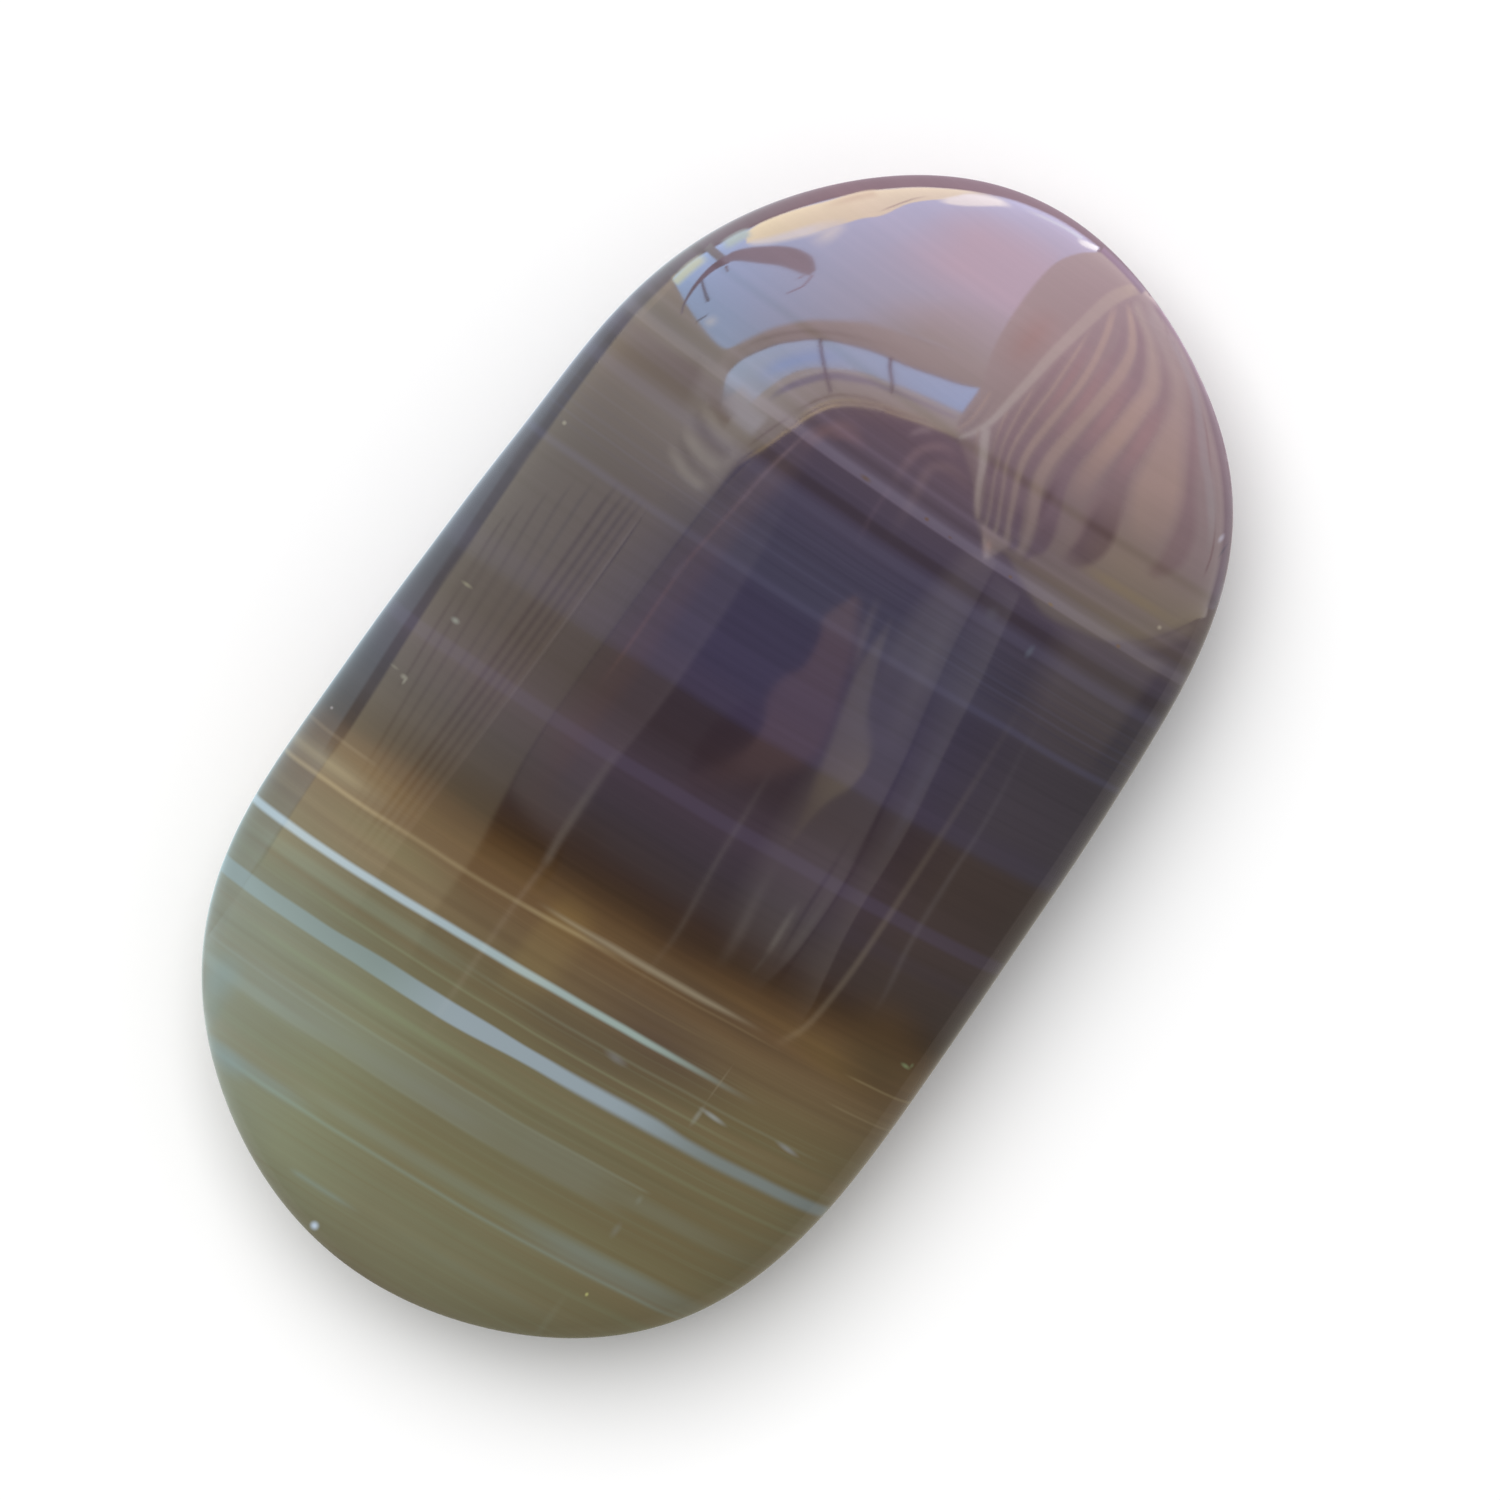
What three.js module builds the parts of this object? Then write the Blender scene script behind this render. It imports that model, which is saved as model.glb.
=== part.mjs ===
// Agate touchstone: a palm-sized pebble of banded agate, ground and polished to a full round
// edge. One solid, in millimetres. +X points to the blunt head, +Y across the stone, +Z up.
// The origin is on the surface that the stone lies on, under the middle of its outline.
import * as THREE from 'three';

// Outline, seen from above: |x / HALF_LENGTH| ^ RIM_POWER + (y / HALF_WIDTH) ^ 2 = 1.
const HALF_LENGTH = 24.82;
const HALF_WIDTH = 13.98;
const RIM_POWER = 4;        // blunt ends and long, nearly straight sides
const TAPER = 0.04;         // how much narrower the head is than the middle, as a share
const BOW = -0.15;          // sideways offset of both ends from the middle

// Grinding left faint flats round both ends, as waves of the outline's radius.
const GRINDING_WAVES = [
  { count: 8, height: 0.2, crestDegrees: 3 },
  { count: 9, height: 0.1, crestDegrees: 9 },
];

// Section, from the girdle up and down.
const CROWN_HEIGHT = 5.8;   // girdle to the top
const CROWN_POWER = 2.6;    // above 2: a flatter top and a fuller shoulder than an ellipse
const BASE_DEPTH = 5.2;     // girdle to the ground
const FLAT_SHARE = 0.45;    // size of the ground flat underneath, as a share of the outline

// Facets of the solid.
const FACETS_AROUND = 96;
const FACETS_DOWN = 34;

const STONE_COLOUR = 0x5b4c4d;
const STONE_ROUGHNESS = 0.12;

// A point of the closed curve that the outline becomes at a share of its full size: an
// ellipse near the middle of the stone, and the blunt outline at the rim.
function outlinePoint(turn, share) {
  const power = 2 + (RIM_POWER - 2) * share ** 2;
  const along = share * Math.cos(turn);
  const across = share * Math.sign(Math.sin(turn)) * Math.sqrt(1 - Math.abs(Math.cos(turn)) ** power);
  const x = HALF_LENGTH * along;
  const y = HALF_WIDTH * across * (1 - TAPER * along) + BOW * along ** 2;

  const bearing = Math.atan2(y, x);
  const waves = GRINDING_WAVES.reduce((sum, { count, height, crestDegrees }) => {
    const phase = count * (bearing - THREE.MathUtils.degToRad(crestDegrees));
    return sum + height * Math.cos(phase);
  }, 0);
  const radius = Math.hypot(x, y) + waves * Math.cos(bearing) ** 2 * share ** 4;
  return [radius * Math.cos(bearing), radius * Math.sin(bearing)];
}

// The section at an angle down from the top: its share of the outline and its height.
// The crown ends at the girdle. Below it, a quarter ellipse runs out level into the flat.
function sectionPoint(down) {
  if (down <= Math.PI / 2) {
    return [Math.sin(down) ** (2 / CROWN_POWER), BASE_DEPTH + CROWN_HEIGHT * Math.cos(down)];
  }
  const rowAngle = Math.PI / FACETS_DOWN;
  const belowGirdle = (down - Math.PI / 2) / (Math.PI / 2 - rowAngle);
  if (belowGirdle > 1) {
    return [0, 0];
  }
  const quarter = belowGirdle * Math.PI / 2;
  return [FLAT_SHARE + (1 - FLAT_SHARE) * Math.cos(quarter), BASE_DEPTH * (1 - Math.sin(quarter))];
}

// A unit sphere, its poles up and down, moved point by point onto the stone's surface.
function stoneGeometry() {
  const geometry = new THREE.SphereGeometry(1, FACETS_AROUND, FACETS_DOWN);
  geometry.rotateX(Math.PI / 2);
  const position = geometry.getAttribute('position');
  for (let i = 0; i < position.count; i += 1) {
    const turn = Math.atan2(position.getY(i), position.getX(i));
    const down = Math.acos(THREE.MathUtils.clamp(position.getZ(i), -1, 1));
    const [share, height] = sectionPoint(down);
    const [x, y] = outlinePoint(turn, share);
    position.setXYZ(i, x, y, height);
  }
  geometry.computeBoundingBox();
  const middle = geometry.boundingBox.getCenter(new THREE.Vector3());
  geometry.translate(-middle.x, -middle.y, 0);
  geometry.computeVertexNormals();
  return geometry;
}

const stone = new THREE.Mesh(
  stoneGeometry(),
  new THREE.MeshStandardMaterial({
    color: STONE_COLOUR,
    roughness: STONE_ROUGHNESS,
    metalness: 0,
  }),
);
stone.name = 'stone';

const touchstone = new THREE.Group();
touchstone.add(stone);

export default touchstone;
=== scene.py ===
import math

import bmesh
import bpy
from mathutils import Euler, Matrix, Vector
from mathutils.bvhtree import BVHTree
from mathutils.interpolate import poly_3d_calc


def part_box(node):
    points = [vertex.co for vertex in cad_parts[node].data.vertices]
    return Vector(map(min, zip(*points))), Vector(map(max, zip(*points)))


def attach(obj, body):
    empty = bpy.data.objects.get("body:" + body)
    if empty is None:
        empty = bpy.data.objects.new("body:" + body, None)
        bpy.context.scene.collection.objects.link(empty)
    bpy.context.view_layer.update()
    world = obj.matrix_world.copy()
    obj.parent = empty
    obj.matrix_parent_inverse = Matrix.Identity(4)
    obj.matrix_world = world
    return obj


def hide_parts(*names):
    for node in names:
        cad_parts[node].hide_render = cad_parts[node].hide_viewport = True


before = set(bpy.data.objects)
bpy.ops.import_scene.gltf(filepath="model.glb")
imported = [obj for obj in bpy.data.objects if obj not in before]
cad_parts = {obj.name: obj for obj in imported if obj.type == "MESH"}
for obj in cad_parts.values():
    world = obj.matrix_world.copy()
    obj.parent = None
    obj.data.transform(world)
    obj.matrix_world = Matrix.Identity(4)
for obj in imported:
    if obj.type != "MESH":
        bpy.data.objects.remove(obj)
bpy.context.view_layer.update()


# ---------------------------------------------------------------------------------------------
# The stone: one pebble of banded chalcedony, ground to a flat oval with a full round edge and
# polished. A block of points is rounded to a ball and moved onto the oval by the rule of its
# outline and section, in one Geometry Nodes tree that takes the stone's sizes as its inputs.

class Wire:
    """A node's socket that works in sums with numbers and with other sockets."""

    def __init__(self, tree, socket=None):
        self.tree = tree
        self.socket = socket

    def node(self, kind, settings=None, inputs=None, output=0):
        """Adds a node, sets its settings and then its sockets, and gives one of its outputs."""
        made = self.tree.nodes.new(kind)
        for name, value in (settings or {}).items():
            if name == "stops":
                ramp = made.color_ramp.elements
                while len(ramp) < len(value):
                    ramp.new(1.0)
                for stop, (place, colour) in zip(ramp, value):
                    stop.position = place
                    stop.color = colour
            else:
                setattr(made, name, value)
        for name, value in (inputs or {}).items():
            if isinstance(value, Wire):
                self.tree.links.new(value.socket, made.inputs[name])
            else:
                made.inputs[name].default_value = value
        return Wire(self.tree, made.outputs[output] if made.outputs else None)

    def math(self, operation, *others):
        """One Math node on this socket and any others."""
        terms = dict(enumerate((self, *others)))
        return self.node("ShaderNodeMath", {"operation": operation}, terms)

    def flipped(self, operation, other):
        """A Math node with the other value first."""
        return self.node("ShaderNodeMath", {"operation": operation}, {0: other, 1: self})

    def parts(self):
        """The X, Y and Z of a vector."""
        split = self.node("ShaderNodeSeparateXYZ", inputs={0: self}).socket.node
        return [Wire(self.tree, split.outputs[axis]) for axis in "XYZ"]

    def __add__(self, other):
        return self.math("ADD", other)

    def __sub__(self, other):
        return self.math("SUBTRACT", other)

    def __rsub__(self, other):
        return self.flipped("SUBTRACT", other)

    def __mul__(self, other):
        return self.math("MULTIPLY", other)

    def __truediv__(self, other):
        return self.math("DIVIDE", other)

    def __rtruediv__(self, other):
        return self.flipped("DIVIDE", other)

    def __pow__(self, other):
        return self.math("POWER", other)

    __radd__ = __add__
    __rmul__ = __mul__


stone_low, stone_high = (Vector(corner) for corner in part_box("stone"))
stone_length, stone_width, stone_height = stone_high - stone_low

stone_sizes = {
    "Half length": 0.4964 * stone_length,
    "Half width": 0.4966 * stone_width,
    "Crown height": 0.5273 * stone_height,
    "Base depth": 0.4727 * stone_height,
    "Ground flat": 0.45,
    "Outline power": 4.0,
    "Crown power": 2.6,
    "Head taper": 0.04,
    "Bow": -0.003 * stone_length,
}
grinding_waves = (
    (8, 0.004 * stone_length, math.radians(3)),
    (9, 0.002 * stone_length, math.radians(9)),
)
points_on_block_edge = 118
flat_angle = math.radians(35)

shape_tree = bpy.data.node_groups.new("stone_grinding", "GeometryNodeTree")
shape_tree.interface.new_socket("Geometry", in_out="OUTPUT", socket_type="NodeSocketGeometry")
size_sockets = {
    name: shape_tree.interface.new_socket(name, in_out="INPUT", socket_type="NodeSocketFloat")
    for name in stone_sizes
}
wheel = Wire(shape_tree)
sizes_node = wheel.node("NodeGroupInput").socket.node
size = {name: Wire(shape_tree, sizes_node.outputs[name]) for name in stone_sizes}

block = wheel.node("GeometryNodeMeshCube", inputs={
    "Size": (2, 2, 2),
    "Vertices X": points_on_block_edge,
    "Vertices Y": points_on_block_edge,
    "Vertices Z": points_on_block_edge,
})
block_point = wheel.node("GeometryNodeInputPosition")
ball_point = wheel.node("ShaderNodeVectorMath", {"operation": "NORMALIZE"}, {0: block_point})
east, north, up = ball_point.parts()
level = (east * east + north * north).math("SQRT").math("MAXIMUM", 1e-6)

# The section. The crown rises from the girdle, and below it a quarter ellipse runs out level
# into the ground flat. A share of 1 is the girdle's outline and 0 is the middle of the stone.
crown_share = level ** (2 / size["Crown power"])
below = (up * -1).math("MAXIMUM", 0.0).math("ARCSINE")
quarter = (below / (math.pi / 2 - flat_angle)).math("MINIMUM", 1.0) * (math.pi / 2)
inside_flat = ((math.pi / 2 - below) / flat_angle).math("MINIMUM", 1.0)
base_share = size["Ground flat"] * inside_flat + (1 - size["Ground flat"]) * quarter.math("COSINE")
on_crown = up.math("GREATER_THAN", 0.0)
share = on_crown * crown_share + (1 - on_crown) * base_share
crown_rise = size["Base depth"] + size["Crown height"] * up
base_rise = size["Base depth"] * (1 - quarter.math("SINE"))
rise = on_crown * crown_rise + (1 - on_crown) * base_rise

# The outline: blunt at the rim and rounder further in, with the faint flats of the grinding.
power = 2 + (size["Outline power"] - 2) * share ** 2
turn_cosine = east / level
along = share * turn_cosine
aside = share * north.math("SIGN") * (1 - turn_cosine.math("ABSOLUTE") ** power).math("SQRT")
oval_x = size["Half length"] * along
oval_y = size["Half width"] * aside * (1 - size["Head taper"] * along) + size["Bow"] * along * along
bearing = oval_y.math("ARCTAN2", oval_x)
ripple = sum(
    tall * (count * (bearing - crest)).math("COSINE") for count, tall, crest in grinding_waves
)
reach = (oval_x * oval_x + oval_y * oval_y).math("SQRT")
reach = reach + ripple * bearing.math("COSINE") ** 2 * share ** 4
stone_point = wheel.node("ShaderNodeCombineXYZ", inputs={
    "X": reach * bearing.math("COSINE"),
    "Y": reach * bearing.math("SINE"),
    "Z": rise,
})
ground = wheel.node("GeometryNodeSetPosition", inputs={"Geometry": block, "Position": stone_point})
agate = bpy.data.materials.new("polished_agate")
smooth = wheel.node("GeometryNodeSetShadeSmooth", inputs={"Geometry": ground, "Shade Smooth": True})
one_piece = wheel.node("GeometryNodeRealizeInstances", inputs={"Geometry": smooth})
polished = wheel.node("GeometryNodeSetMaterial", inputs={"Geometry": one_piece, "Material": agate})
wheel.node("NodeGroupOutput", inputs={"Geometry": polished})

carrier = bpy.data.objects.new("stone_carrier", bpy.data.meshes.new("stone_carrier"))
bpy.context.scene.collection.objects.link(carrier)
grinding = carrier.modifiers.new("grinding", "NODES")
grinding.node_group = shape_tree
for name, value in stone_sizes.items():
    grinding[size_sockets[name].identifier] = value
depsgraph = bpy.context.evaluated_depsgraph_get()
stone_mesh = bpy.data.meshes.new_from_object(carrier.evaluated_get(depsgraph))
bpy.data.objects.remove(carrier)
stone = bpy.data.objects.new("agate_stone", stone_mesh)
bpy.context.scene.collection.objects.link(stone)

# The rule's oval is a little off centre, so the mesh moves to the middle of the CAD stone.
corners = [Vector(corner) for corner in stone.bound_box]
made_low = Vector(map(min, *corners))
made_high = Vector(map(max, *corners))
stone_mesh.transform(Matrix.Translation((stone_low + stone_high - made_low - made_high) / 2))

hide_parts("stone")
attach(stone, "root")


# The stone's agate: growth bands that cross it from side to side, olive and milky at the tail,
# amber and then smoky violet in the middle, and rosy at the head, with a few sharp white bands.
# The pattern runs right through the stone, so it is worked out in three axes.

def tint(red, green, blue):
    """A colour as it shows on a screen, 0 to 255, made ready for a shader."""
    channels = (value / 255 for value in (red, green, blue))
    linear = (
        channel / 12.92 if channel <= 0.04045 else ((channel + 0.055) / 1.055) ** 2.4
        for channel in channels
    )
    return (*linear, 1.0)


def step(value, start, end):
    """0 at start and 1 at end, with a soft run between them."""
    limits = {"Value": value, "From Min": start, "From Max": end}
    return value.node("ShaderNodeMapRange", {"interpolation_type": "SMOOTHSTEP"}, limits)


def mix(mask, below_colour, above_colour, blend="MIX"):
    """below_colour where the mask is 0 and above_colour where it is 1."""
    settings = {"data_type": "RGBA", "blend_type": blend}
    return mask.node("ShaderNodeMix", settings, {0: mask, 6: below_colour, 7: above_colour}, 2)


def grain(x, y, z, detail=2.0):
    """Smooth noise from 0 to 1 at a place that is already scaled to its grain."""
    place = x.node("ShaderNodeCombineXYZ", inputs={"X": x, "Y": y, "Z": z})
    return x.node("ShaderNodeTexNoise", inputs={"Vector": place, "Scale": 1.0, "Detail": detail})


MM = 0.001
agate.use_nodes = True
agate.node_tree.nodes.clear()
vein = Wire(agate.node_tree)
spot = vein.node("ShaderNodeTexCoord", output="Object")
x, y, z = (axis / MM for axis in spot.parts())

# Each band leans and bows a little across the stone, less towards the head, tips over a little
# from the base to the crown, and wavers. All the places in the agate are in millimetres, with 0
# at the stone's middle, and band_height is where a band has the place that is given for it.
bow = 0.0022
tip = 0.04
band_height = 9
lean = 0.08 + 0.01 * step(x, -6, -15) - 0.058 * step(x, 3, 13)
waver = 0.25 * (grain(x * 0.07, y * 0.09, z * 0.09) - 0.5)
waver = waver + 0.10 * (grain(x * 0.3, y * 0.25, z * 0.25) - 0.5)
band = x + lean * y - bow * y * y + tip * (z - band_height) + waver

# The body colours, each at its place along the stone. The brown edge of the amber lies a little
# nearer the head along the stone's lower side.
body_bands = (
    (-25.0, tint(113, 110, 86)),
    (-22.0, tint(113, 111, 86)),
    (-19.2, tint(108, 102, 75)),
    (-16.5, tint(104, 100, 76)),
    (-15.0, tint(107, 101, 76)),
    (-13.0, tint(99, 90, 65)),
    (-11.0, tint(98, 83, 59)),
    (-10.0, tint(96, 78, 55)),
    (-9.0, tint(98, 76, 51)),
    (-8.2, tint(90, 69, 44)),
    (-7.55, tint(76, 56, 35)),
    (-6.85, tint(58, 42, 28)),
    (-6.2, tint(52, 38, 31)),
    (-5.3, tint(55, 45, 45)),
    (-4.0, tint(52, 44, 50)),
    (-2.4, tint(60, 49, 59)),
    (-1.4, tint(57, 46, 53)),
    (-0.4, tint(50, 39, 44)),
    (1.25, tint(49, 39, 46)),
    (1.42, tint(55, 47, 64)),
    (3.0, tint(54, 48, 69)),
    (6.0, tint(54, 49, 69)),
    (6.9, tint(60, 57, 75)),
    (9.3, tint(60, 55, 72)),
    (10.4, tint(61, 53, 68)),
    (11.7, tint(70, 60, 73)),
    (12.7, tint(82, 70, 82)),
    (14.0, tint(87, 71, 81)),
    (15.2, tint(96, 78, 88)),
    (17.5, tint(108, 87, 95)),
    (20.0, tint(122, 98, 106)),
    (25.0, tint(140, 116, 127)),
)
tail_end = body_bands[0][0]
ramp_length = body_bands[-1][0] - tail_end
ramp_stops = [((place - tail_end) / ramp_length, body) for place, body in body_bands]
stain_lag = 0.5 * step(y, -5, -12) * step(band, -10.5, -9) * step(band, -4.5, -6)
stained_band = band - stain_lag + 0.35 * (grain(x * 0.2, y * 0.25, z * 0.25) - 0.5)
ramp_place = (stained_band - tail_end) / ramp_length
colour = vein.node("ShaderNodeValToRGB", {"stops": ramp_stops}, {0: ramp_place})


def patch(centre_x, centre_y, reach_x, reach_y):
    """1 at a place on the stone, fading to 0 at its reach along and across the stone."""
    away_x = (x - centre_x) / reach_x
    away_y = (y - centre_y) / reach_y
    return step((away_x * away_x + away_y * away_y).math("SQRT"), 1.0, 0.0)


def shade(lightness, base):
    """A colour made lighter or darker by a number that is about 1."""
    level = {"X": lightness, "Y": lightness, "Z": lightness}
    scale = lightness.node("ShaderNodeCombineXYZ", inputs=level)
    return lightness.node("ShaderNodeVectorMath", {"operation": "MULTIPLY"}, {0: base, 1: scale})


# The stone is thinner towards its sides, where the violet goes grey, the smoky part brown, the
# head olive, and the tail milky green along the upper side and yellow along the lower.
off_middle = step(y.math("ABSOLUTE"), 3.5, 11)
violet_part = step(band, 0.8, 1.6) * step(band, 12, 9)
smoky_part = step(band, -6.6, -5) * step(band, 1.6, 1.2)
tail_part = step(band, -8.5, -13.5)
colour = mix(off_middle * violet_part * 0.8, colour, tint(58, 51, 56))
colour = mix(step(y, -6, -10.5) * smoky_part * 0.7, colour, tint(60, 48, 43))
colour = mix(step(y, 0, 11) * tail_part * 0.35, colour, tint(116, 124, 104))
colour = mix(step(y, -1, -10) * tail_part * 0.6, colour, tint(101, 89, 61))
olive_part = step(y, -5, -9) * step(band, 13.2, 13.8) * step(band, 15.9, 14.6)
colour = mix(olive_part * 0.3, colour, tint(96, 84, 66))

# Iron has stained soft brown and golden clouds into the amber and one into the head. Each is
# its middle along and across, its reach along and across, its stain and its strength.
for place, stain, strength in (
    ((-6.7, -3.0, 1.4, 2.6), tint(56, 40, 30), 0.4),
    ((-6.2, 2.4, 1.6, 1.6), tint(52, 38, 30), 0.4),
    ((-5.0, -11.6, 1.7, 2.2), tint(76, 56, 34), 0.5),
    ((-8.6, 10.5, 1.2, 3.4), tint(112, 88, 54), 0.5),
    ((-8.8, 1.0, 1.0, 1.6), tint(110, 86, 50), 0.35),
    ((-7.4, -10.5, 0.9, 3.0), tint(98, 78, 44), 0.5),
    ((-10.6, -4.5, 2.2, 5.0), tint(80, 65, 52), 0.9),
    ((-12.4, -2.5, 1.6, 6.5), tint(88, 76, 58), 0.8),
    ((-8.2, -5.0, 0.9, 5.5), tint(70, 57, 45), 0.5),
    ((-6.6, -12.2, 1.6, 2.6), tint(66, 54, 36), 0.6),
    ((-10.5, 8.5, 1.0, 4.5), tint(112, 104, 74), 0.6),
    ((-11.3, 7.5, 0.9, 6.5), tint(126, 108, 80), 0.45),
    ((-9.35, 12.0, 0.8, 4.2), tint(124, 114, 90), 0.5),
    ((-7.9, 9.5, 1.0, 5.0), tint(80, 57, 36), 0.5),
    ((15.8, -8.2, 2.6, 3.4), tint(112, 94, 70), 0.25),
):
    colour = mix(patch(*place) * strength, colour, stain)

# Laminae finer than the bands run the whole width. They are greenish, tawny and reddish at the
# tail, strongest in the amber and the violet, and faint at the head.
amber_part = step(band, -12.5, -10.5) * step(band, -5.5, -7.5)
head_part = step(band, 11, 15)
broad_laminae = grain(band * 0.9, y * 0.03, z * 0.05, 3.0)
fine_laminae = grain(band * 4.2, y * 0.05, z * 0.10, 3.0)
hair_laminae = grain(band * 13, y * 0.10, z * 0.2, 2.0)
broad_strength = 0.20 + 0.14 * violet_part - 0.06 * tail_part
fine_strength = 0.22 + 0.16 * amber_part - 0.10 * head_part - 0.09 * tail_part + 0.10 * violet_part
lightness = 1.0 + broad_strength * (broad_laminae - 0.5) + fine_strength * (fine_laminae - 0.5)
lightness = lightness + (0.10 - 0.06 * head_part - 0.05 * tail_part) * (hair_laminae - 0.5)
colour = shade(lightness, colour)
greenish = step(fine_laminae, 0.5, 0.75) * tail_part
colour = mix(greenish * 0.16, colour, tint(112, 124, 100))
tawny = step(fine_laminae, 0.46, 0.28) * tail_part
colour = mix(tawny * 0.20, colour, tint(110, 92, 62))
reddish = step(broad_laminae, 0.52, 0.72) * tail_part
colour = mix(reddish * 0.25, colour, tint(114, 96, 72))


def between(low_edge, high_edge, softness):
    """1 where a band runs between two of its places, with soft edges."""
    entered = step(band, low_edge - softness, low_edge + softness)
    left = step(band, high_edge + softness, high_edge - softness)
    return entered * left


def across(gone_low, full_low, full_high, gone_high):
    """Where a band that pinches out is there, by its y: from gone to full and back to gone."""
    return step(y, gone_low, full_low) * step(y, gone_high, full_high)


# Soft zones: low edge, high edge, softness, colour, strength and where across the stone.
whole = (-40, -30, 30, 40)
zones = (
    (-20.67, -20.12, 0.20, tint(116, 132, 134), 0.36, (4, 7, 9.5, 12)),
    (-20.07, -19.57, 0.24, tint(120, 134, 120), 0.30, (-14, -8, 3, 7)),
    (-20.52, -19.62, 0.28, tint(118, 130, 130), 0.30, (-14, -9, -7, -3)),
    (-17.84, -16.46, 0.14, tint(116, 119, 106), 0.38, (-8, -5, 9, 12)),
    (-17.66, -17.06, 0.30, tint(118, 124, 116), 0.28, (-2, 1, 6, 12)),
    (-17.96, -17.46, 0.15, tint(124, 134, 122), 0.45, (5, 9, 30, 40)),
    (-17.36, -16.76, 0.2, tint(118, 124, 110), 0.25, (-14, -9, -8, -6)),
    (-15.61, -15.31, 0.15, tint(112, 120, 92), 0.35, (-2, 3, 9, 12)),
    (-12.58, -12.08, 0.2, tint(118, 128, 110), 0.35, (2, 6, 11, 14)),
    (-2.55, -2.00, 0.12, tint(72, 62, 80), 0.45, whole),
    (1.40, 2.30, 0.5, tint(60, 52, 72), 0.3, whole),
    (9.65, 10.10, 0.15, tint(74, 69, 88), 0.45, whole),
    (10.35, 10.80, 0.12, tint(50, 40, 46), 0.60, whole),
    (11.87, 12.32, 0.25, tint(104, 94, 110), 0.28, whole),
    (12.42, 12.72, 0.18, tint(66, 54, 62), 0.40, whole),
    (12.52, 13.02, 0.10, tint(76, 60, 60), 0.45, (-40, -30, -7, -3)),
    (13.62, 14.00, 0.18, tint(106, 88, 62), 0.35, (-12, -10, -8.5, -7)),
    (15.15, 15.48, 0.18, tint(74, 57, 54), 0.46, whole),
)
for low_edge, high_edge, softness, milk, strength, reach in zones:
    mask = between(low_edge, high_edge, softness) * across(*reach) * strength
    colour = mix(mask, colour, milk)


def line(centre, half_width, softness):
    """1 along a thin band and 0 away from it."""
    return step((band - centre).math("ABSOLUTE"), half_width + softness, half_width - softness)


# Thin lines: centre, half width, softness, colour, strength and where across the stone.
lines = (
    (-22.88, 0.08, 0.15, tint(126, 148, 146), 0.36, (0.8, 2.4, 3.8, 4.4)),
    (-22.80, 0.14, 0.23, tint(118, 130, 112), 0.22, (-9, -5, -3, 1)),
    (-21.55, 0.10, 0.19, tint(112, 118, 92), 0.22, whole),
    (-20.55, 0.06, 0.11, tint(126, 144, 134), 0.40, (-14, -9, 7, 10)),
    (-19.02, 0.16, 0.23, tint(108, 114, 86), 0.18, whole),
    (-17.82, 0.05, 0.10, tint(126, 134, 120), 0.25, (-4, 0, 9, 12)),
    (-16.86, 0.05, 0.08, tint(124, 132, 120), 0.34, (4, 7, 11, 13)),
    (-16.48, 0.05, 0.08, tint(124, 130, 112), 0.38, (-7.9, -7.3, 7, 10)),
    (-15.91, 0.10, 0.12, tint(92, 84, 58), 0.26, (-14, -8, 30, 40)),
    (-15.46, 0.06, 0.09, tint(116, 124, 96), 0.26, (-30, -10, 9, 14)),
    (-14.88, 0.10, 0.12, tint(96, 92, 66), 0.21, whole),
    (-13.13, 0.05, 0.08, tint(126, 132, 104), 0.38, (-12, -6, 6, 12)),
    (-13.17, 0.09, 0.12, tint(114, 122, 96), 0.26, (5, 9, 30, 40)),
    (-12.68, 0.10, 0.14, tint(88, 82, 58), 0.21, whole),
    (-12.25, 0.05, 0.08, tint(126, 132, 112), 0.26, (-13, -11, 1, 5)),
    (-10.53, 0.12, 0.10, tint(84, 66, 46), 0.30, whole),
    (-10.03, 0.05, 0.05, tint(112, 96, 70), 0.25, (-7, -5, -1, 2)),
    (-9.53, 0.12, 0.16, tint(84, 64, 44), 0.22, (-10, -7, -2, 1)),
    (-9.03, 0.04, 0.06, tint(124, 108, 80), 0.28, (-9, -7, -2, 1)),
    (-8.67, 0.14, 0.16, tint(142, 128, 98), 0.40, (10.0, 11.4, 30, 40)),
    (-7.67, 0.07, 0.06, tint(118, 100, 76), 0.40, (10.2, 11.4, 30, 40)),
    (-9.98, 0.04, 0.06, tint(134, 120, 92), 0.32, (-30, -29, -12, -11)),
    (-8.66, 0.04, 0.06, tint(144, 128, 94), 0.36, (-30, -29, -12, -11)),
    (-3.70, 0.30, 0.20, tint(60, 50, 58), 0.30, whole),
    (6.52, 0.14, 0.12, tint(72, 69, 90), 0.47, whole),
    (7.30, 0.05, 0.06, tint(52, 48, 66), 0.30, whole),
    (7.65, 0.05, 0.06, tint(70, 68, 88), 0.26, whole),
    (8.05, 0.07, 0.07, tint(70, 68, 88), 0.21, whole),
    (8.42, 0.06, 0.06, tint(52, 48, 64), 0.30, whole),
    (8.80, 0.04, 0.05, tint(70, 67, 84), 0.21, whole),
    (9.15, 0.06, 0.06, tint(54, 50, 64), 0.26, whole),
    (11.17, 0.06, 0.10, tint(78, 68, 84), 0.23, whole),
    (11.84, 0.05, 0.07, tint(112, 100, 118), 0.30, whole),
    (12.02, 0.17, 0.12, tint(108, 99, 116), 0.46, whole),
    (12.95, 0.08, 0.10, tint(106, 92, 108), 0.30, whole),
    (13.22, 0.05, 0.09, tint(74, 60, 68), 0.27, whole),
    (13.47, 0.05, 0.09, tint(98, 82, 96), 0.23, whole),
    (14.07, 0.05, 0.09, tint(76, 62, 68), 0.23, whole),
)
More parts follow.
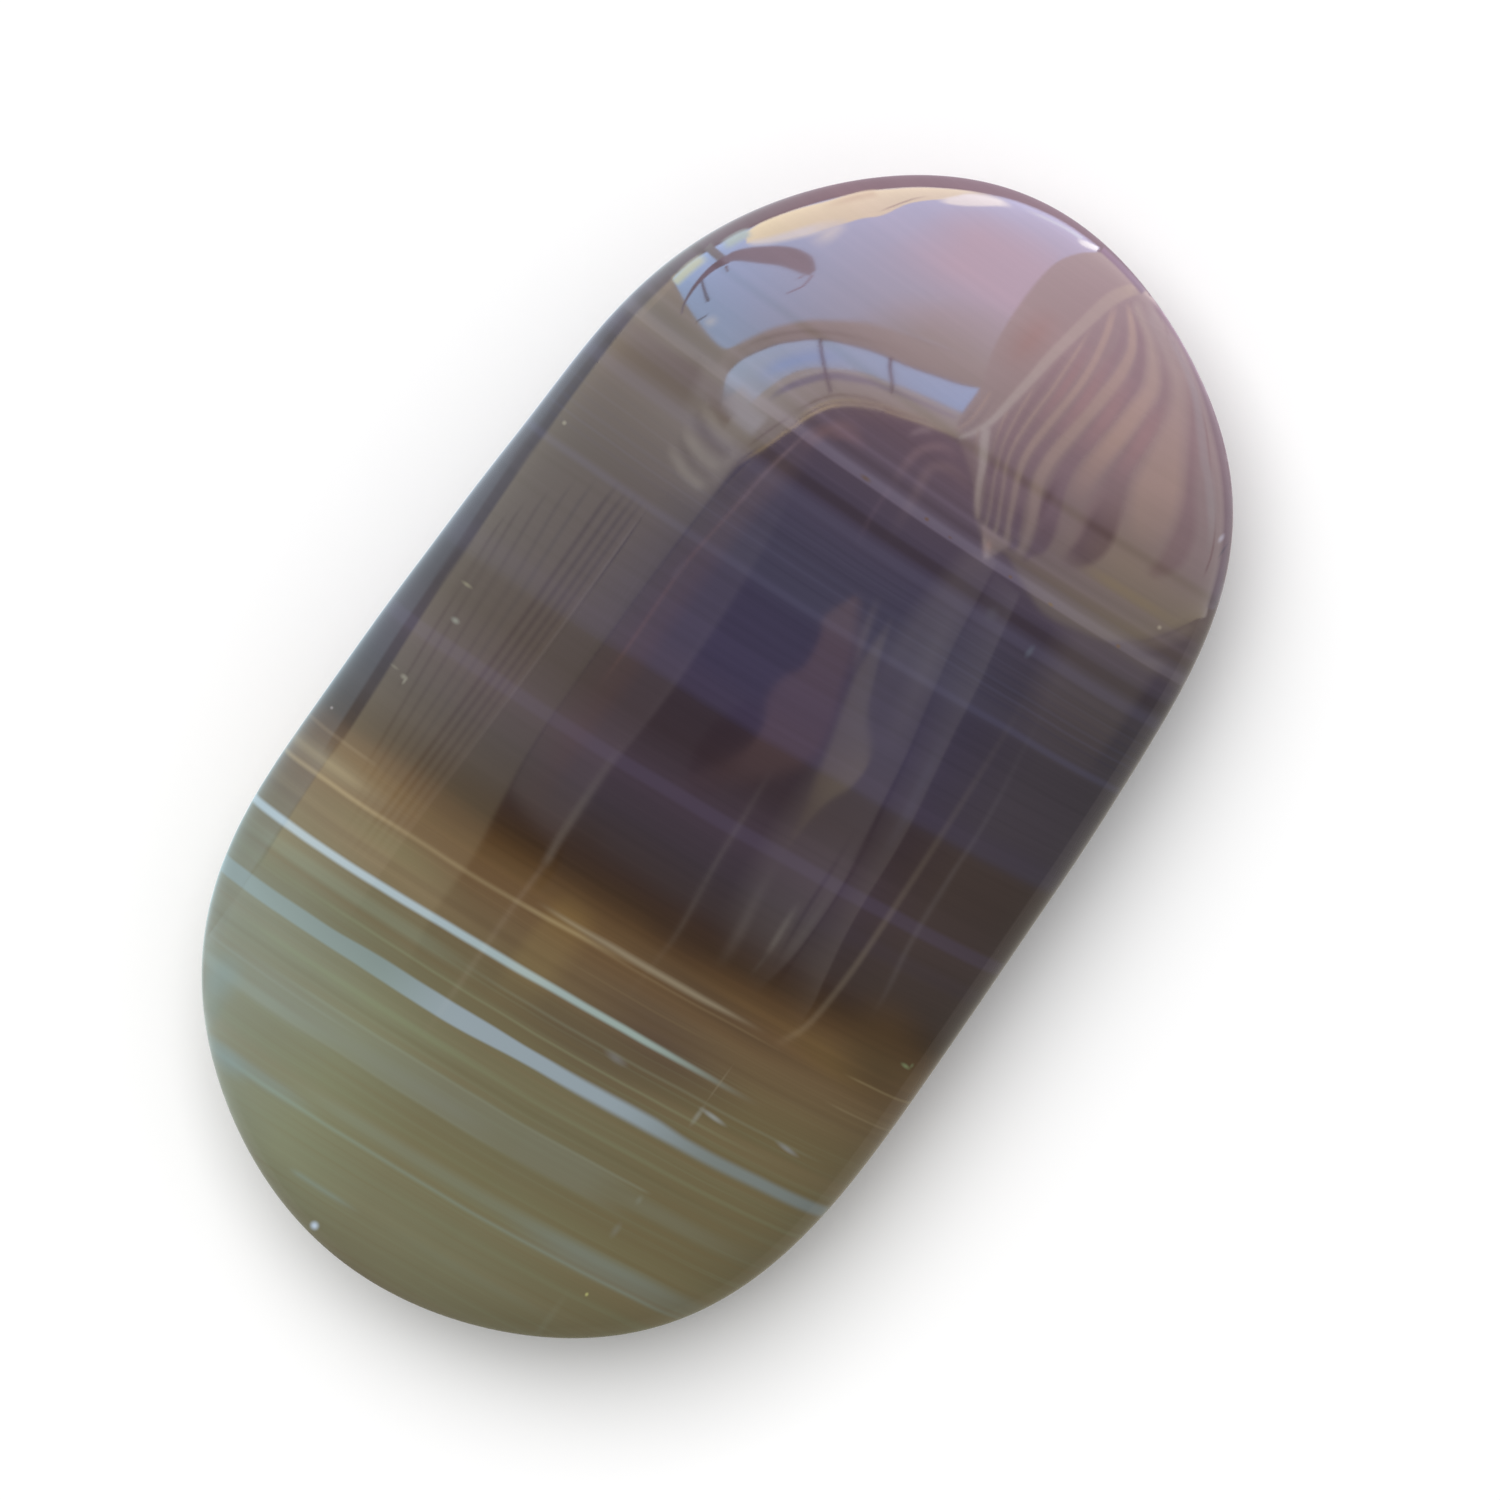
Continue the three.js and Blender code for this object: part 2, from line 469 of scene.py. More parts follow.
for centre, half_width, softness, milk, strength, reach in lines:
    mask = line(centre, half_width, softness) * across(*reach) * strength
    colour = mix(mask, colour, milk)

# The lilac bands near the head go grey at the upper side and olive at the lower.
lilac_part = step(band, 11.4, 11.9) * step(band, 15.4, 12.6)
colour = mix(lilac_part * step(y, 4, 10) * 0.45, colour, tint(82, 79, 76))
colour = mix(lilac_part * step(y, -5, -11) * 0.25, colour, tint(86, 78, 64))

# The two pale lines beside the amber. The first drifts, and the second swells and pinches out.
first_place = -9.15
drift = 0.012 * (y - 4) - 0.16 * step(y, 4.5, 0)
first_pale = step((band - first_place + drift).math("ABSOLUTE"), 0.18, -0.02)
first_pale = first_pale * across(-2.5, 0.5, 30, 40)
first_strength = 0.45 + 0.3 * step(y, 8, 10.5) + 0.2 * step(y, 3.4, 2.2)
colour = mix(first_pale * first_strength * 0.92, colour, tint(146, 130, 98))
second_place = -8.69
swell = 0.02 + 0.06 * step(y, -7.2, -4.0) * step(y, 1.5, -2.0)
second_pale = step((band - second_place).math("ABSOLUTE"), swell + 0.17, swell - 0.09)
second_pale = second_pale * across(-8.0, -5.5, 0.8, 2.6)
colour = mix(second_pale * 0.55, colour, tint(148, 138, 116))

# The broad blue-grey band. Its two edges shift a little and go softer towards the lower side,
# and its middle is the brightest.
broad_low = -14.54 + 0.19 * step(y, 2.5, -1.5)
broad_high = -13.87 + 0.13 * step(y, 8.5, 5.5) * step(y, -7.8, -6.2)
broad_edge = 0.07 + 0.08 * step(y, 0, -5)
entered = step((band - broad_low) / broad_edge, -1.0, 1.0)
left = step((band - broad_high) / broad_edge, 1.0, -1.0)
broad_side = mix(step(y, -2, 2), tint(114, 122, 120), tint(120, 134, 132))
broad_milk = mix(across(-9.5, -4, 2, 6.5), broad_side, tint(139, 152, 160))
colour = mix(entered * left * 0.92, colour, broad_milk)

# The bright white band, which thins towards the lower side and dies out.
white_place = -11.48
white_bend = 0.265 * step(y, 11, -2) * (1 - 0.35 * step(y, -3, -8))
white_width = 0.13 + 0.02 * across(-2, 2, 12, 30) - 0.035 * step(y, -2.5, -7.5)
off_white = (band - white_place - white_bend).math("ABSOLUTE")
white_line = step(off_white, white_width + 0.10, white_width - 0.09) * step(y, -9.5, -3.5)
white_milk = mix(step(y, -5, 9), tint(146, 164, 158), tint(162, 180, 190))
colour = mix(white_line * 0.84, colour, white_milk)

# Milky clouds and tiny chips in the upper surface, and rust in the holes along the lilac band,
# each given as the iron's clouds are. The chip at the tail is its frosted break with a painted
# bluish-white glint on it.
upper_side = step(z, 4.9, 5.5)
for place, mark_and_glint, strength in (
    ((-18.7, 10.8, 1.6, 1.2), tint(108, 130, 134), 0.40),
    ((-20.0, 10.3, 0.9, 0.6), tint(90, 100, 92), 0.35),
    ((-21.2, 8.8, 0.7, 1.6), tint(112, 134, 140), 0.40),
    ((-12.1, -3.6, 0.25, 0.7), tint(120, 122, 124), 0.45),
    ((-11.78, -8.0, 0.16, 0.8), tint(140, 144, 142), 0.75),
    ((-12.1, -7.48, 0.62, 0.17), tint(136, 138, 128), 0.50),
    ((-10.6, -7.45, 1.2, 0.07), tint(128, 118, 98), 0.35),
    ((-11.15, -11.1, 0.16, 0.7), tint(134, 138, 140), 0.60),
    ((-17.6, -7.5, 0.5, 0.22), tint(126, 132, 128), 0.24),
    ((-16.1, -7.55, 0.3, 0.18), tint(126, 132, 120), 0.28),
    ((-22.2, -7.4, 2.0, 0.24), tint(126, 130, 110), 0.16),
    # The tail chip: its frosted break, brightened by a painted bluish-white glint.
    ((-24.42, 2.18, 0.27, 0.26), tint(190, 206, 224), 1.0),
    ((-20.35, -8.05, 0.13, 0.10), tint(170, 170, 110), 0.9),
    ((-4.85, 11.75, 0.16, 0.24), tint(148, 148, 136), 0.4),
    ((-4.98, 11.65, 0.22, 0.10), tint(148, 148, 136), 0.35),
    ((-4.75, 12.3, 0.10, 0.30), tint(110, 108, 100), 0.4),
    ((-1.9, 11.4, 0.18, 0.28), tint(150, 158, 150), 0.4),
    ((-0.5, 11.85, 0.12, 0.36), tint(144, 142, 118), 0.35),
    ((6.85, 12.45, 0.14, 0.14), tint(160, 158, 142), 0.4),
    ((-7.5, 13.4, 0.10, 0.10), tint(160, 150, 150), 0.6),
    ((-5.85, -13.0, 0.13, 0.30), tint(116, 128, 92), 0.8),
    ((-5.7, -13.2, 0.16, 0.10), tint(104, 112, 80), 0.6),
    ((10.1, -7.5, 0.42, 0.20), tint(84, 88, 100), 0.6),
    ((10.4, -5.45, 0.45, 0.40), tint(76, 74, 84), 0.4),
    ((13.85, -11.1, 0.14, 0.14), tint(150, 140, 130), 0.6),
    ((18.15, -11.08, 0.30, 0.15), tint(166, 162, 180), 0.7),
    ((17.8, -11.42, 0.55, 0.08), tint(62, 56, 72), 0.6),
    ((11.86, 1.6, 0.14, 0.36), tint(92, 72, 48), 0.6),
    ((11.95, -1.25, 0.12, 0.16), tint(96, 70, 44), 0.7),
    ((12.02, -5.2, 0.10, 0.14), tint(104, 78, 50), 0.6),
    ((12.07, -7.1, 0.10, 0.18), tint(106, 82, 44), 0.6),
    ((12.3, -10.2, 0.12, 0.16), tint(104, 78, 44), 0.6),
    ((11.9, -2.4, 0.08, 0.14), tint(92, 66, 48), 0.5),
):
    colour = mix(patch(*place) * upper_side * strength, colour, mark_and_glint)

# A fine even polish, with the least unevenness that handling leaves.
agate_refraction = 1.54
handling = grain(x * 0.8, y * 0.8, z * 0.8, 4.0)
polish_roughness = 0.03 + 0.03 * handling
agate_surface = vein.node("ShaderNodeBsdfPrincipled", inputs={
    "Base Color": colour,
    "Roughness": polish_roughness,
    "IOR": agate_refraction,
})
vein.node("ShaderNodeOutputMaterial", inputs={"Surface": agate_surface})


# ---------------------------------------------------------------------------------------------
# The floor: one wide sheet of matt off-white board that the stone rests on. The polish doesn't
# mirror it, because the light tent holds all that shows in the gloss.

floor_half_width = 3.0
floor_mesh = bpy.data.meshes.new("floor")
floor_shape = bmesh.new()
bmesh.ops.create_grid(floor_shape, x_segments=1, y_segments=1, size=floor_half_width)
floor_shape.to_mesh(floor_mesh)
floor_shape.free()
floor = bpy.data.objects.new("floor", floor_mesh)
bpy.context.scene.collection.objects.link(floor)

board_white = (0.9, 0.9, 0.9, 1)
board = bpy.data.materials.new("matt_board")
board.use_nodes = True
board.node_tree.nodes.clear()
board_wire = Wire(board.node_tree)
board_surface = board_wire.node("ShaderNodeBsdfDiffuse", inputs={"Color": board_white})
board_wire.node("ShaderNodeOutputMaterial", inputs={"Surface": board_surface})
floor_mesh.materials.append(board)
floor.visible_glossy = False


# ---------------------------------------------------------------------------------------------
# The studio light: an even soft light from all round, and a wide lamp high up to one side. The
# polish mirrors neither of them.

even_strength = 0.6
lamp_size = 1.2
lamp_power = 16
lamp_place = Vector((0.3, 0.5, 1.3))
studio = bpy.data.worlds.new("studio")
bpy.context.scene.world = studio
studio.use_nodes = True
studio.node_tree.nodes.clear()
air = Wire(studio.node_tree)
even_light = air.node("ShaderNodeBackground", inputs={"Color": (1, 1, 1, 1), "Strength": even_strength})
air.node("ShaderNodeOutputWorld", inputs={"Surface": even_light})
studio.cycles_visibility.glossy = False

lamp_data = bpy.data.lights.new("overhead", "AREA")
lamp_data.size = lamp_size
lamp_data.energy = lamp_power
lamp = bpy.data.objects.new("overhead", lamp_data)
lamp.location = lamp_place
lamp.rotation_euler = lamp_place.to_track_quat("Z", "Y").to_euler()
lamp.visible_camera = False
lamp.visible_glossy = False
bpy.context.scene.collection.objects.link(lamp)

bpy.context.scene.view_settings.view_transform = "Standard"


# ---------------------------------------------------------------------------------------------
# The camera: it looks straight down on the stone from 45 cm, turned so that the head points up
# and to the right. Its view is a little wider than the stone is long, measured at the girdle.

head_turn = math.radians(54.46)
view_width = 1.1787 * stone_length
camera_height = 0.45
view_right = Vector((math.cos(head_turn), -math.sin(head_turn), 0))
view_up = Vector((math.sin(head_turn), math.cos(head_turn), 0))
outline_middle = Vector((-0.26 * MM, -0.04 * MM, 0))
shift_right = 1.22 * MM
shift_up = 0.27 * MM
view_centre = outline_middle + shift_right * view_right + shift_up * view_up

camera_data = bpy.data.cameras.new("camera")
camera_data.sensor_width = 36.0
girdle_height = stone_sizes["Base depth"]
camera_data.lens = camera_data.sensor_width * (camera_height - girdle_height) / view_width
camera = bpy.data.objects.new("camera", camera_data)
camera.location = view_centre + Vector((0, 0, camera_height))
camera.rotation_euler = (0, 0, -head_turn)
bpy.context.scene.collection.objects.link(camera)
bpy.context.scene.camera = camera


# ---------------------------------------------------------------------------------------------
# The light tent: a dark ball of cloth round the stone with sheets of light hung inside it, seen
# only as the gloss on the polish. Each sheet is hung where the camera's rays go once they have
# met the stone, so its places are given in millimetres along and across the stone.

# In metres: the ball, the first sheet inside it, and the step from each sheet to the next.
cloth_radius = 3.4
tent_radius = 3.0
layer_gap = 0.005
# A sheet's edges are cut into steps, and its width, in millimetres, into panels. A place off the
# stone is drawn inwards by a share of its distance at a time.
steps_a_leg = 8
panel_width = 0.25
least_width = 0.001
inward = 0.998
tent_points = []
tent_glows = []
tent_sheets = []
stone_mesh.calc_loop_triangles()
polish_faces = [tuple(face.vertices) for face in stone_mesh.loop_triangles]
polish_points = [point.co for point in stone_mesh.vertices]
polish = BVHTree.FromPolygons(polish_points, polish_faces)


def thrown_to(place, radius):
    """Where on the ball a camera ray lands that meets the stone at a place. A place that is just
    off the stone is drawn inwards until the ray meets it."""
    met = None
    while met is None:
        aim = Vector((place.x * MM, place.y * MM, girdle_height)) - camera.location
        met, _, face, _ = polish.ray_cast(camera.location, aim)
        place = place * inward
    corners = polish_faces[face]
    shares = poly_3d_calc([polish_points[corner] for corner in corners], met)
    facing = Vector()
    for corner, share in zip(corners, shares):
        facing += stone_mesh.vertices[corner].normal * share
    ray = aim.normalized().reflect(facing.normalized())
    level = met.dot(ray)
    return met + ray * (math.sqrt(level * level - met.dot(met) + radius * radius) - level)


def hang_rows(rows):
    """Adds one sheet to the tent from its rows of points and glows."""
    row_length = len(rows[0])
    corner = len(tent_points)
    for row in rows:
        for point, light in row:
            tent_points.append(point)
            tent_glows.append(light)
    sheet = []
    for _ in rows[1:]:
        for number in range(corner, corner + row_length - 1):
            sheet.append((number, number + 1, number + row_length + 1, number + row_length))
        corner += row_length
    tent_sheets.append(sheet)


def smooth_line(chosen, steps):
    """steps + 1 places along a smooth line through the chosen places."""
    inner = [Vector(place) for place in chosen]
    held = [2 * inner[0] - inner[1], *inner, 2 * inner[-1] - inner[-2]]
    smooth = []
    for number in range(steps + 1):
        travel = number / steps * (len(inner) - 1)
        leg = min(int(travel), len(inner) - 2)
        part_way = travel - leg
        before, start, end, after = held[leg:leg + 4]
        bend = (2 * before - 5 * start + 4 * end - after) * part_way * part_way
        twist = (3 * start - before - 3 * end + after) * part_way ** 3
        smooth.append((2 * start + (end - before) * part_way + bend + twist) / 2)
    return smooth


def hang_sheet(first, second, glows, soft=(0.05, 0.05), fades=(0.0, 0.0)):
    """Hangs a sheet of light between two edges, in front of the sheets already there. glows are
    its light at the start and end of the first edge and then of the second. soft is the blur of
    the two edges, and fades the share of the length that fades out at each end."""
    steps = steps_a_leg * (max(len(first), len(second)) - 1)
    edges = list(zip(smooth_line(first, steps), smooth_line(second, steps)))
    panels = max(1, math.ceil(max((far - near).length for near, far in edges) / panel_width))
    radius = tent_radius - layer_gap * len(tent_sheets)
    rows = []
    for number, (near, far) in enumerate(edges):
        travel = number / steps
        width = max((far - near).length, least_width)
        towards_far = (far - near) / width
        strength = 1.0
        for gone, share in zip((travel, 1 - travel), fades):
            if share:
                strength *= min(1.0, gone / share)
        blur = [min(edge / 2, width / 2) for edge in soft]
        inside = width - sum(blur)
        spots = [-soft[0] / 2]
        spots += [blur[0] + inside * panel / panels for panel in range(panels + 1)]
        spots += [width + soft[1] / 2]
        start = Vector(glows[0]).lerp(Vector(glows[1]), travel)
        end = Vector(glows[2]).lerp(Vector(glows[3]), travel)
        row = []
        for column, spot in enumerate(spots):
            light = start.lerp(end, min(1.0, max(0.0, spot / width)))
            outermost = column in (0, len(spots) - 1)
            hung_at = thrown_to(near + towards_far * spot, radius)
            row.append((hung_at, (*light, 0.0 if outermost else strength)))
        rows.append(row)
    hang_rows(rows)


def hang_strip(path, widths, lights, soft=0.05, fades=(0.0, 0.0)):
    """Hangs a narrow sheet along a path. widths is its width at each place, or one for all, and
    lights is its light at the start and at the end, or one for all."""
    places = [Vector(place) for place in path]
    if isinstance(widths, float):
        widths = [widths] * len(places)
    if isinstance(lights[0], float):
        lights = (lights, lights)
    first = []
    second = []
    for number, (place, width) in enumerate(zip(places, widths)):
        run = places[min(number + 1, len(places) - 1)] - places[max(number - 1, 0)]
        side = Vector((-run.y, run.x)).normalized() * width / 2
        first.append(place + side)
        second.append(place - side)
    hang_sheet(first, second, lights * 2, (soft, soft), fades)


# The ball's own cloth, by the bearing round from the head, in degrees: its light level with the
# stone and its light below it, where it takes the colour of what it hangs over.
overhead = (0.12, 0.12, 0.13)
quarters = (
    (-180, (0.12, 0.12, 0.10), (0.18, 0.17, 0.14)),
    (-135, (0.20, 0.20, 0.16), (0.26, 0.26, 0.20)),
    (-100, (0.22, 0.22, 0.18), (0.38, 0.36, 0.30)),
    (-70, (0.24, 0.24, 0.20), (0.44, 0.42, 0.38)),
    (-35, (0.40, 0.34, 0.38), (0.55, 0.45, 0.52)),
    (45, (0.40, 0.34, 0.38), (0.55, 0.45, 0.52)),
    (68, (0.90, 0.95, 1.00), (1.10, 1.25, 1.30)),
    (80, (0.95, 1.05, 1.10), (1.00, 1.15, 1.25)),
    (105, (1.00, 1.20, 1.25), (1.05, 1.25, 1.30)),
    (135, (0.70, 0.80, 0.75), (0.90, 1.00, 1.00)),
    (160, (0.25, 0.28, 0.24), (0.50, 0.52, 0.46)),
    (180, (0.12, 0.12, 0.10), (0.18, 0.17, 0.14)),
)
# Each ring is its angle from overhead, in degrees, and how far down it takes its light: 0 is the
# light overhead, 1 the light level with the stone, and 2 the light below it.
cloth_rings = (
    (1, 0.0),
    (28, 0.0),
    (50, 1.0),
    (80, 1.0),
    (108.5, 1.0),
    (110, 2.0),
    (135, 2.0),
    (179, 2.0),
)
turn_step = 5
cloth_rows = []
for (start, start_level, start_low), (end, end_level, end_low) in zip(quarters, quarters[1:]):
    for turn in range(start, end, turn_step):
        share = (turn - start) / (end - start)
        level_glow = Vector(start_level).lerp(Vector(end_level), share)
        low_glow = Vector(start_low).lerp(Vector(end_low), share)
        row = []
        for off_zenith, depth in cloth_rings:
            light = Vector(overhead).lerp(level_glow, min(1.0, depth))
            light = light.lerp(low_glow, max(0.0, depth - 1))
            ring = cloth_radius * math.sin(math.radians(off_zenith))
            place = Vector((ring, 0, cloth_radius * math.cos(math.radians(off_zenith))))
            place.rotate(Euler((0, 0, math.radians(turn))))
            row.append((place, (*light, 1.0)))
        cloth_rows.append(row)
cloth_rows.append(cloth_rows[0])
hang_rows(cloth_rows)


# ---------------------------------------------------------------------------------------------
# The slatted screen at the upper side: a pale blind with dark gaps between its slats, which
# brightens towards the window. Towards the tail it thins to a soft greenish haze.

# The haze, row by row: its tail end, its head end, its height and its light.
haze = (
    (-24.7, -13.0, -2.5, (0.10, 0.10, 0.08)),
    (-24.7, -13.2, 1.0, (0.30, 0.30, 0.24)),
    (-24.4, -13.6, 3.2, (0.62, 0.80, 0.58)),
    (-23.8, -13.8, 5.2, (1.00, 1.30, 0.95)),
    (-22.6, -13.8, 8.0, (1.20, 1.50, 1.40)),
    (-20.8, -14.0, 10.2, (1.55, 1.95, 1.95)),
    (-17.8, -14.0, 12.2, (1.65, 2.15, 2.30)),
)
for (tail_x, head_x, low_y, low_light), (far_x, near_x, high_y, high_light) in zip(haze, haze[1:]):
    low = [(tail_x, low_y), (tail_x / 2 + head_x / 2, low_y), (head_x, low_y)]
    high = [(far_x, high_y), (far_x / 2 + near_x / 2, high_y), (near_x, high_y)]
    hang_sheet(low, high, (low_light, low_light, high_light, high_light), (0.02, 0.02), (0.1, 0.25))
# The wall above the blind, then the blind from its lower edge up and from the tail to the head.
hang_sheet(
    [(-19, 11.2), (-16, 12.1), (-13, 12.35), (-10.5, 12.4), (-8, 12.55), (-5, 12.8), (-2, 12.95),
     (1, 13.1), (4, 13.2), (7, 13.2), (10, 13.1), (12.5, 12.8), (14, 12.5)],
    [(-19, 12.7), (-16, 13.6), (-13, 13.95), (-10.5, 14.05), (-8, 14.1), (-5, 14.1), (-2, 14.05),
     (1, 14.0), (4, 13.95), (7, 13.85), (10, 13.65), (12.5, 13.3), (14, 13.0)],
    ((1.50, 1.95, 2.20), (1.05, 1.10, 1.15), (0.70, 0.95, 1.00), (0.95, 1.05, 1.25)), (0.15, 0.1),
    (0.1, 0.05),
)
blind_low = (1.05, 0.95, 0.66)
blind_middle = (1.28, 1.16, 0.84)
blind_shade = (1.48, 1.26, 0.88)
blind_high = (2.15, 2.05, 1.60)
hang_sheet(
    [(-14.6, 5.0), (-12, 5.5), (-9, 5.55), (-7, 5.85), (-4, 6.15), (0, 6.22)],
    [(-14.6, 8.1), (-9.5, 8.1), (-5, 7.98), (0, 7.9)],
    ((0.74, 0.68, 0.50), blind_low, (0.80, 0.80, 0.58), blind_middle), (0.25, 0.04), (0.25, 0.0),
)
hang_sheet(
    [(0, 6.22), (5, 6.2), (7.5, 6.1), (9.5, 6.0), (12.6, 5.6)], [(0, 7.9), (6, 7.9), (12.6, 8.5)],
    (blind_low, (1.5, 1.2, 0.8), blind_middle, (2.2, 1.8, 1.2)), (0.25, 0.04),
)
hang_sheet(
    [(-14.4, 8.1), (-9.5, 8.1), (-5, 7.98), (0, 7.9)],
    [(-14.6, 12.1), (-13, 12.25), (-11, 12.35), (-8.4, 12.45), (-4, 12.75), (0, 13.0)],
    ((1.35, 1.25, 0.95), blind_shade, (2.1, 2.05, 1.6), blind_high), (0.05, 0.1), (0.22, 0.0),
)
hang_sheet(
    [(0, 7.9), (6, 7.9), (10, 7.9), (12.9, 7.9)],
    [(0, 13.0), (6, 13.18), (10, 13.05), (12, 12.85), (14.2, 12.4)],
    (blind_shade, (2.3, 1.9, 1.3), blind_high, (2.4, 2.2, 1.7)), (0.05, 0.1),
)
hang_sheet(
    [(7, 6.3), (8, 6.2), (9, 6.2), (10, 6.2), (13, 6.3)],
    [(6.6, 12.7), (8, 12.8), (9.5, 12.8), (11, 12.7), (13.9, 12.3)],
    ((2.6, 2.2, 1.6), (3.0, 2.7, 2.1), (2.5, 2.2, 1.8), (2.9, 2.5, 1.8)), (0.3, 0.4), (0.5, 0.0),
)
hang_sheet(
    [(9.6, 8.9), (11.6, 9.3), (12.3, 9.6)], [(9.4, 12.6), (10.6, 12.7), (11.2, 12.6)],
    ((2.0, 1.6, 1.0), (2.2, 1.9, 1.3), (2.9, 2.4, 1.7), (2.9, 2.5, 1.8)), (0.5, 0.6), (0.4, 0.4),
)
hang_sheet(
    [(12.2, 12.8), (12.1, 11), (12.1, 9.2), (12.3, 8.7)],
    [(14.1, 12.4), (13.4, 11), (12.95, 9.4), (12.7, 8.8)],
    ((2.0, 1.9, 1.5), (2.2, 2.0, 1.4), (2.6, 2.3, 1.6), (2.8, 2.4, 1.8)), (0.5, 0.05),
)
# The gaps between the slats: where each starts at its tail end, its height in the middle, where
# it ends at its head end, its width and its light.
slat_shadow = (1.08, 0.95, 0.70)
slat_haze = (1.42, 1.32, 1.02)
slat_gaps = (
    (-11.6, 8.45, 8.30, 6.3, 8.27, 0.13, slat_shadow),
    (-12.0, 8.82, 8.63, 6.3, 8.62, 0.16, slat_shadow),
    (-12.0, 9.17, 9.01, 6.2, 9.01, 0.17, slat_shadow),
    (-12.0, 9.48, 9.38, 6.2, 9.48, 0.17, slat_shadow),
    (-12.0, 9.86, 9.92, 5.8, 10.30, 0.15, slat_haze),
    (-11.8, 10.22, 10.38, 5.2, 10.97, 0.12, slat_haze),
    (-10.6, 10.52, 11.00, 4.4, 11.55, 0.11, slat_haze),
    (-9.4, 10.95, 11.55, 3.4, 12.05, 0.10, slat_haze),
    (-5.4, 11.75, 12.00, 2.6, 12.35, 0.08, slat_haze),
)
gap_middle = -2.5
for tail_x, tail_y, middle_y, head_x, head_y, width, light in slat_gaps:
    gap = [(tail_x, tail_y), (gap_middle, middle_y), (head_x, head_y)]
    hang_strip(gap, width, light, 0.14, (0.12, 0.05))
bright_slat = [(-9.6, 8.2), (-5, 8.06), (-2, 7.99), (0, 7.97), (3, 7.95), (6.2, 7.98)]
hang_strip(bright_slat, 0.09, ((1.5, 1.4, 1.1), (2.2, 1.9, 1.5)), 0.07, (0.3, 0.1))
hang_strip([(-9, 7.95), (-5, 7.9), (0, 7.82), (6, 7.84)], 0.05, slat_shadow, 0.05, (0.2, 0.1))
# Fine ripples run level between the blind's lower edge and its slats.
ripples = 6
lowest_ripple = 6.6
ripple_pitch = 0.2
for number in range(ripples):
    ripple_y = lowest_ripple + ripple_pitch * number
    hang_strip(
        [(-7, ripple_y), (0, ripple_y), (7, ripple_y)], 0.06, ((0.8, 0.72, 0.55), (1.7, 1.45, 1.15)),
        0.08, (0.5, 0.3),
    )
# Pale folds of the blind beside the window: where each hangs, its width and its light.
fold_pale = (4.0, 3.6, 2.8)
fold_hollow = (1.8, 1.5, 1.0)
for foot_x, width, light in (
    (8.0, 0.32, fold_pale),
    (8.5, 0.26, fold_hollow),
    (8.95, 0.36, fold_pale),
    (9.6, 0.40, fold_hollow),
    (10.15, 0.30, fold_pale),
    (10.65, 0.35, (2.4, 1.9, 1.2)),
):
    fold = [(foot_x, 6.4), (foot_x + 0.03, 7.3), (foot_x + 0.3, 8.2), (foot_x + 0.6, 8.7)]
    hang_strip(fold, width, light, 0.2, (0.15, 0.45))
# The dark gap above the blind, which pales towards the window.
gap_dark = (0.60, 0.72, 0.78)
gap_pale = (1.00, 1.05, 1.05)
hang_strip(
    [(-9.6, 12.5), (-8.4, 12.57), (-6, 12.7), (-4, 12.82), (-2, 12.9), (0, 12.97), (3, 13.07),
     (6, 13.12), (8, 13.09), (10, 13.02), (12, 12.88), (14, 12.5)],
    [0.3, 0.44, 0.46, 0.44, 0.4, 0.4, 0.44, 0.44, 0.4, 0.34, 0.28, 0.22], (gap_dark, gap_pale), 0.12,
    (0.12, 0.0),
)


# ---------------------------------------------------------------------------------------------
# The window beyond the head: its sky, the sunlit wall low in it, the transom, the lower pane
# with its posts, and the sill.

hang_sheet(
    [(13.95, 12.35), (13.3, 10.9), (12.9, 9.3), (13.4, 8.7), (14.6, 7.9), (15.7, 6.8), (16.6, 5.5),
     (17.3, 4.1), (17.8, 2.6), (18.1, 1.2), (18.4, -0.1)],
    [(14.1, 12.36), (15.5, 11.93), (17.5, 10.94), (19.5, 9.62), (21.32, 7.98), (22.64, 6.37),
     (23.6, 4.7), (24.2, 3.4), (24.57, 2.0), (24.71, 0.8), (24.7, -0.6)],
    ((2.9, 4.7, 7.3), (3.9, 3.7, 4.0), (3.6, 5.8, 9.2), (4.2, 4.4, 6.2)), (0.08, 0.12),
)
sky_lilac = (4.9, 4.2, 5.3)
hang_sheet(
    [(19.5, 6.5), (20, 4), (20.2, 2), (20.2, 0.5)], [(22.3, 5.5), (22.8, 4), (23.2, 2), (23.2, 0.5)],
    (sky_lilac,) * 4, (1.5, 1.2), (0.4, 0.0),
)
# A dim haze stands in the sky's inner side, and a wall in full sun at its outer side.
haze_dim = (2.9, 2.8, 2.3)
haze_clear = (4.0, 3.9, 4.6)
hang_sheet(
    [(16.4, 5.8), (17.2, 4.4), (17.7, 3.0), (18.0, 1.6), (18.0, 0.0)],
    [(17.4, 5.8), (18.6, 4.4), (19.5, 3.0), (20.1, 1.6), (20.4, 0.5)],
    (haze_dim, haze_dim, haze_clear, haze_clear), (0.4, 1.0), (0.5, 0.0),
)
sunlit = (9.8, 8.6, 5.5)
sunlit_low = (7.6, 6.9, 4.9)
hang_sheet(
    [(16.8, 10.8), (17.5, 9.98), (18.5, 9.05), (19.5, 8.25), (20.2, 7.7), (20.8, 7.1), (21.8, 6.5),
     (22.7, 5.5), (23.4, 4.4), (24.05, 3.2)],
    [(17.1, 11.08), (17.85, 10.77), (19.0, 10.0), (20.0, 9.18), (21.0, 8.36), (21.55, 7.76),
     (22.52, 6.57), (23.32, 5.3), (23.82, 4.32), (24.2, 3.3)], (sunlit, sunlit_low, sunlit, sunlit_low),
    (0.06, 0.08), (0.0, 0.2),
)
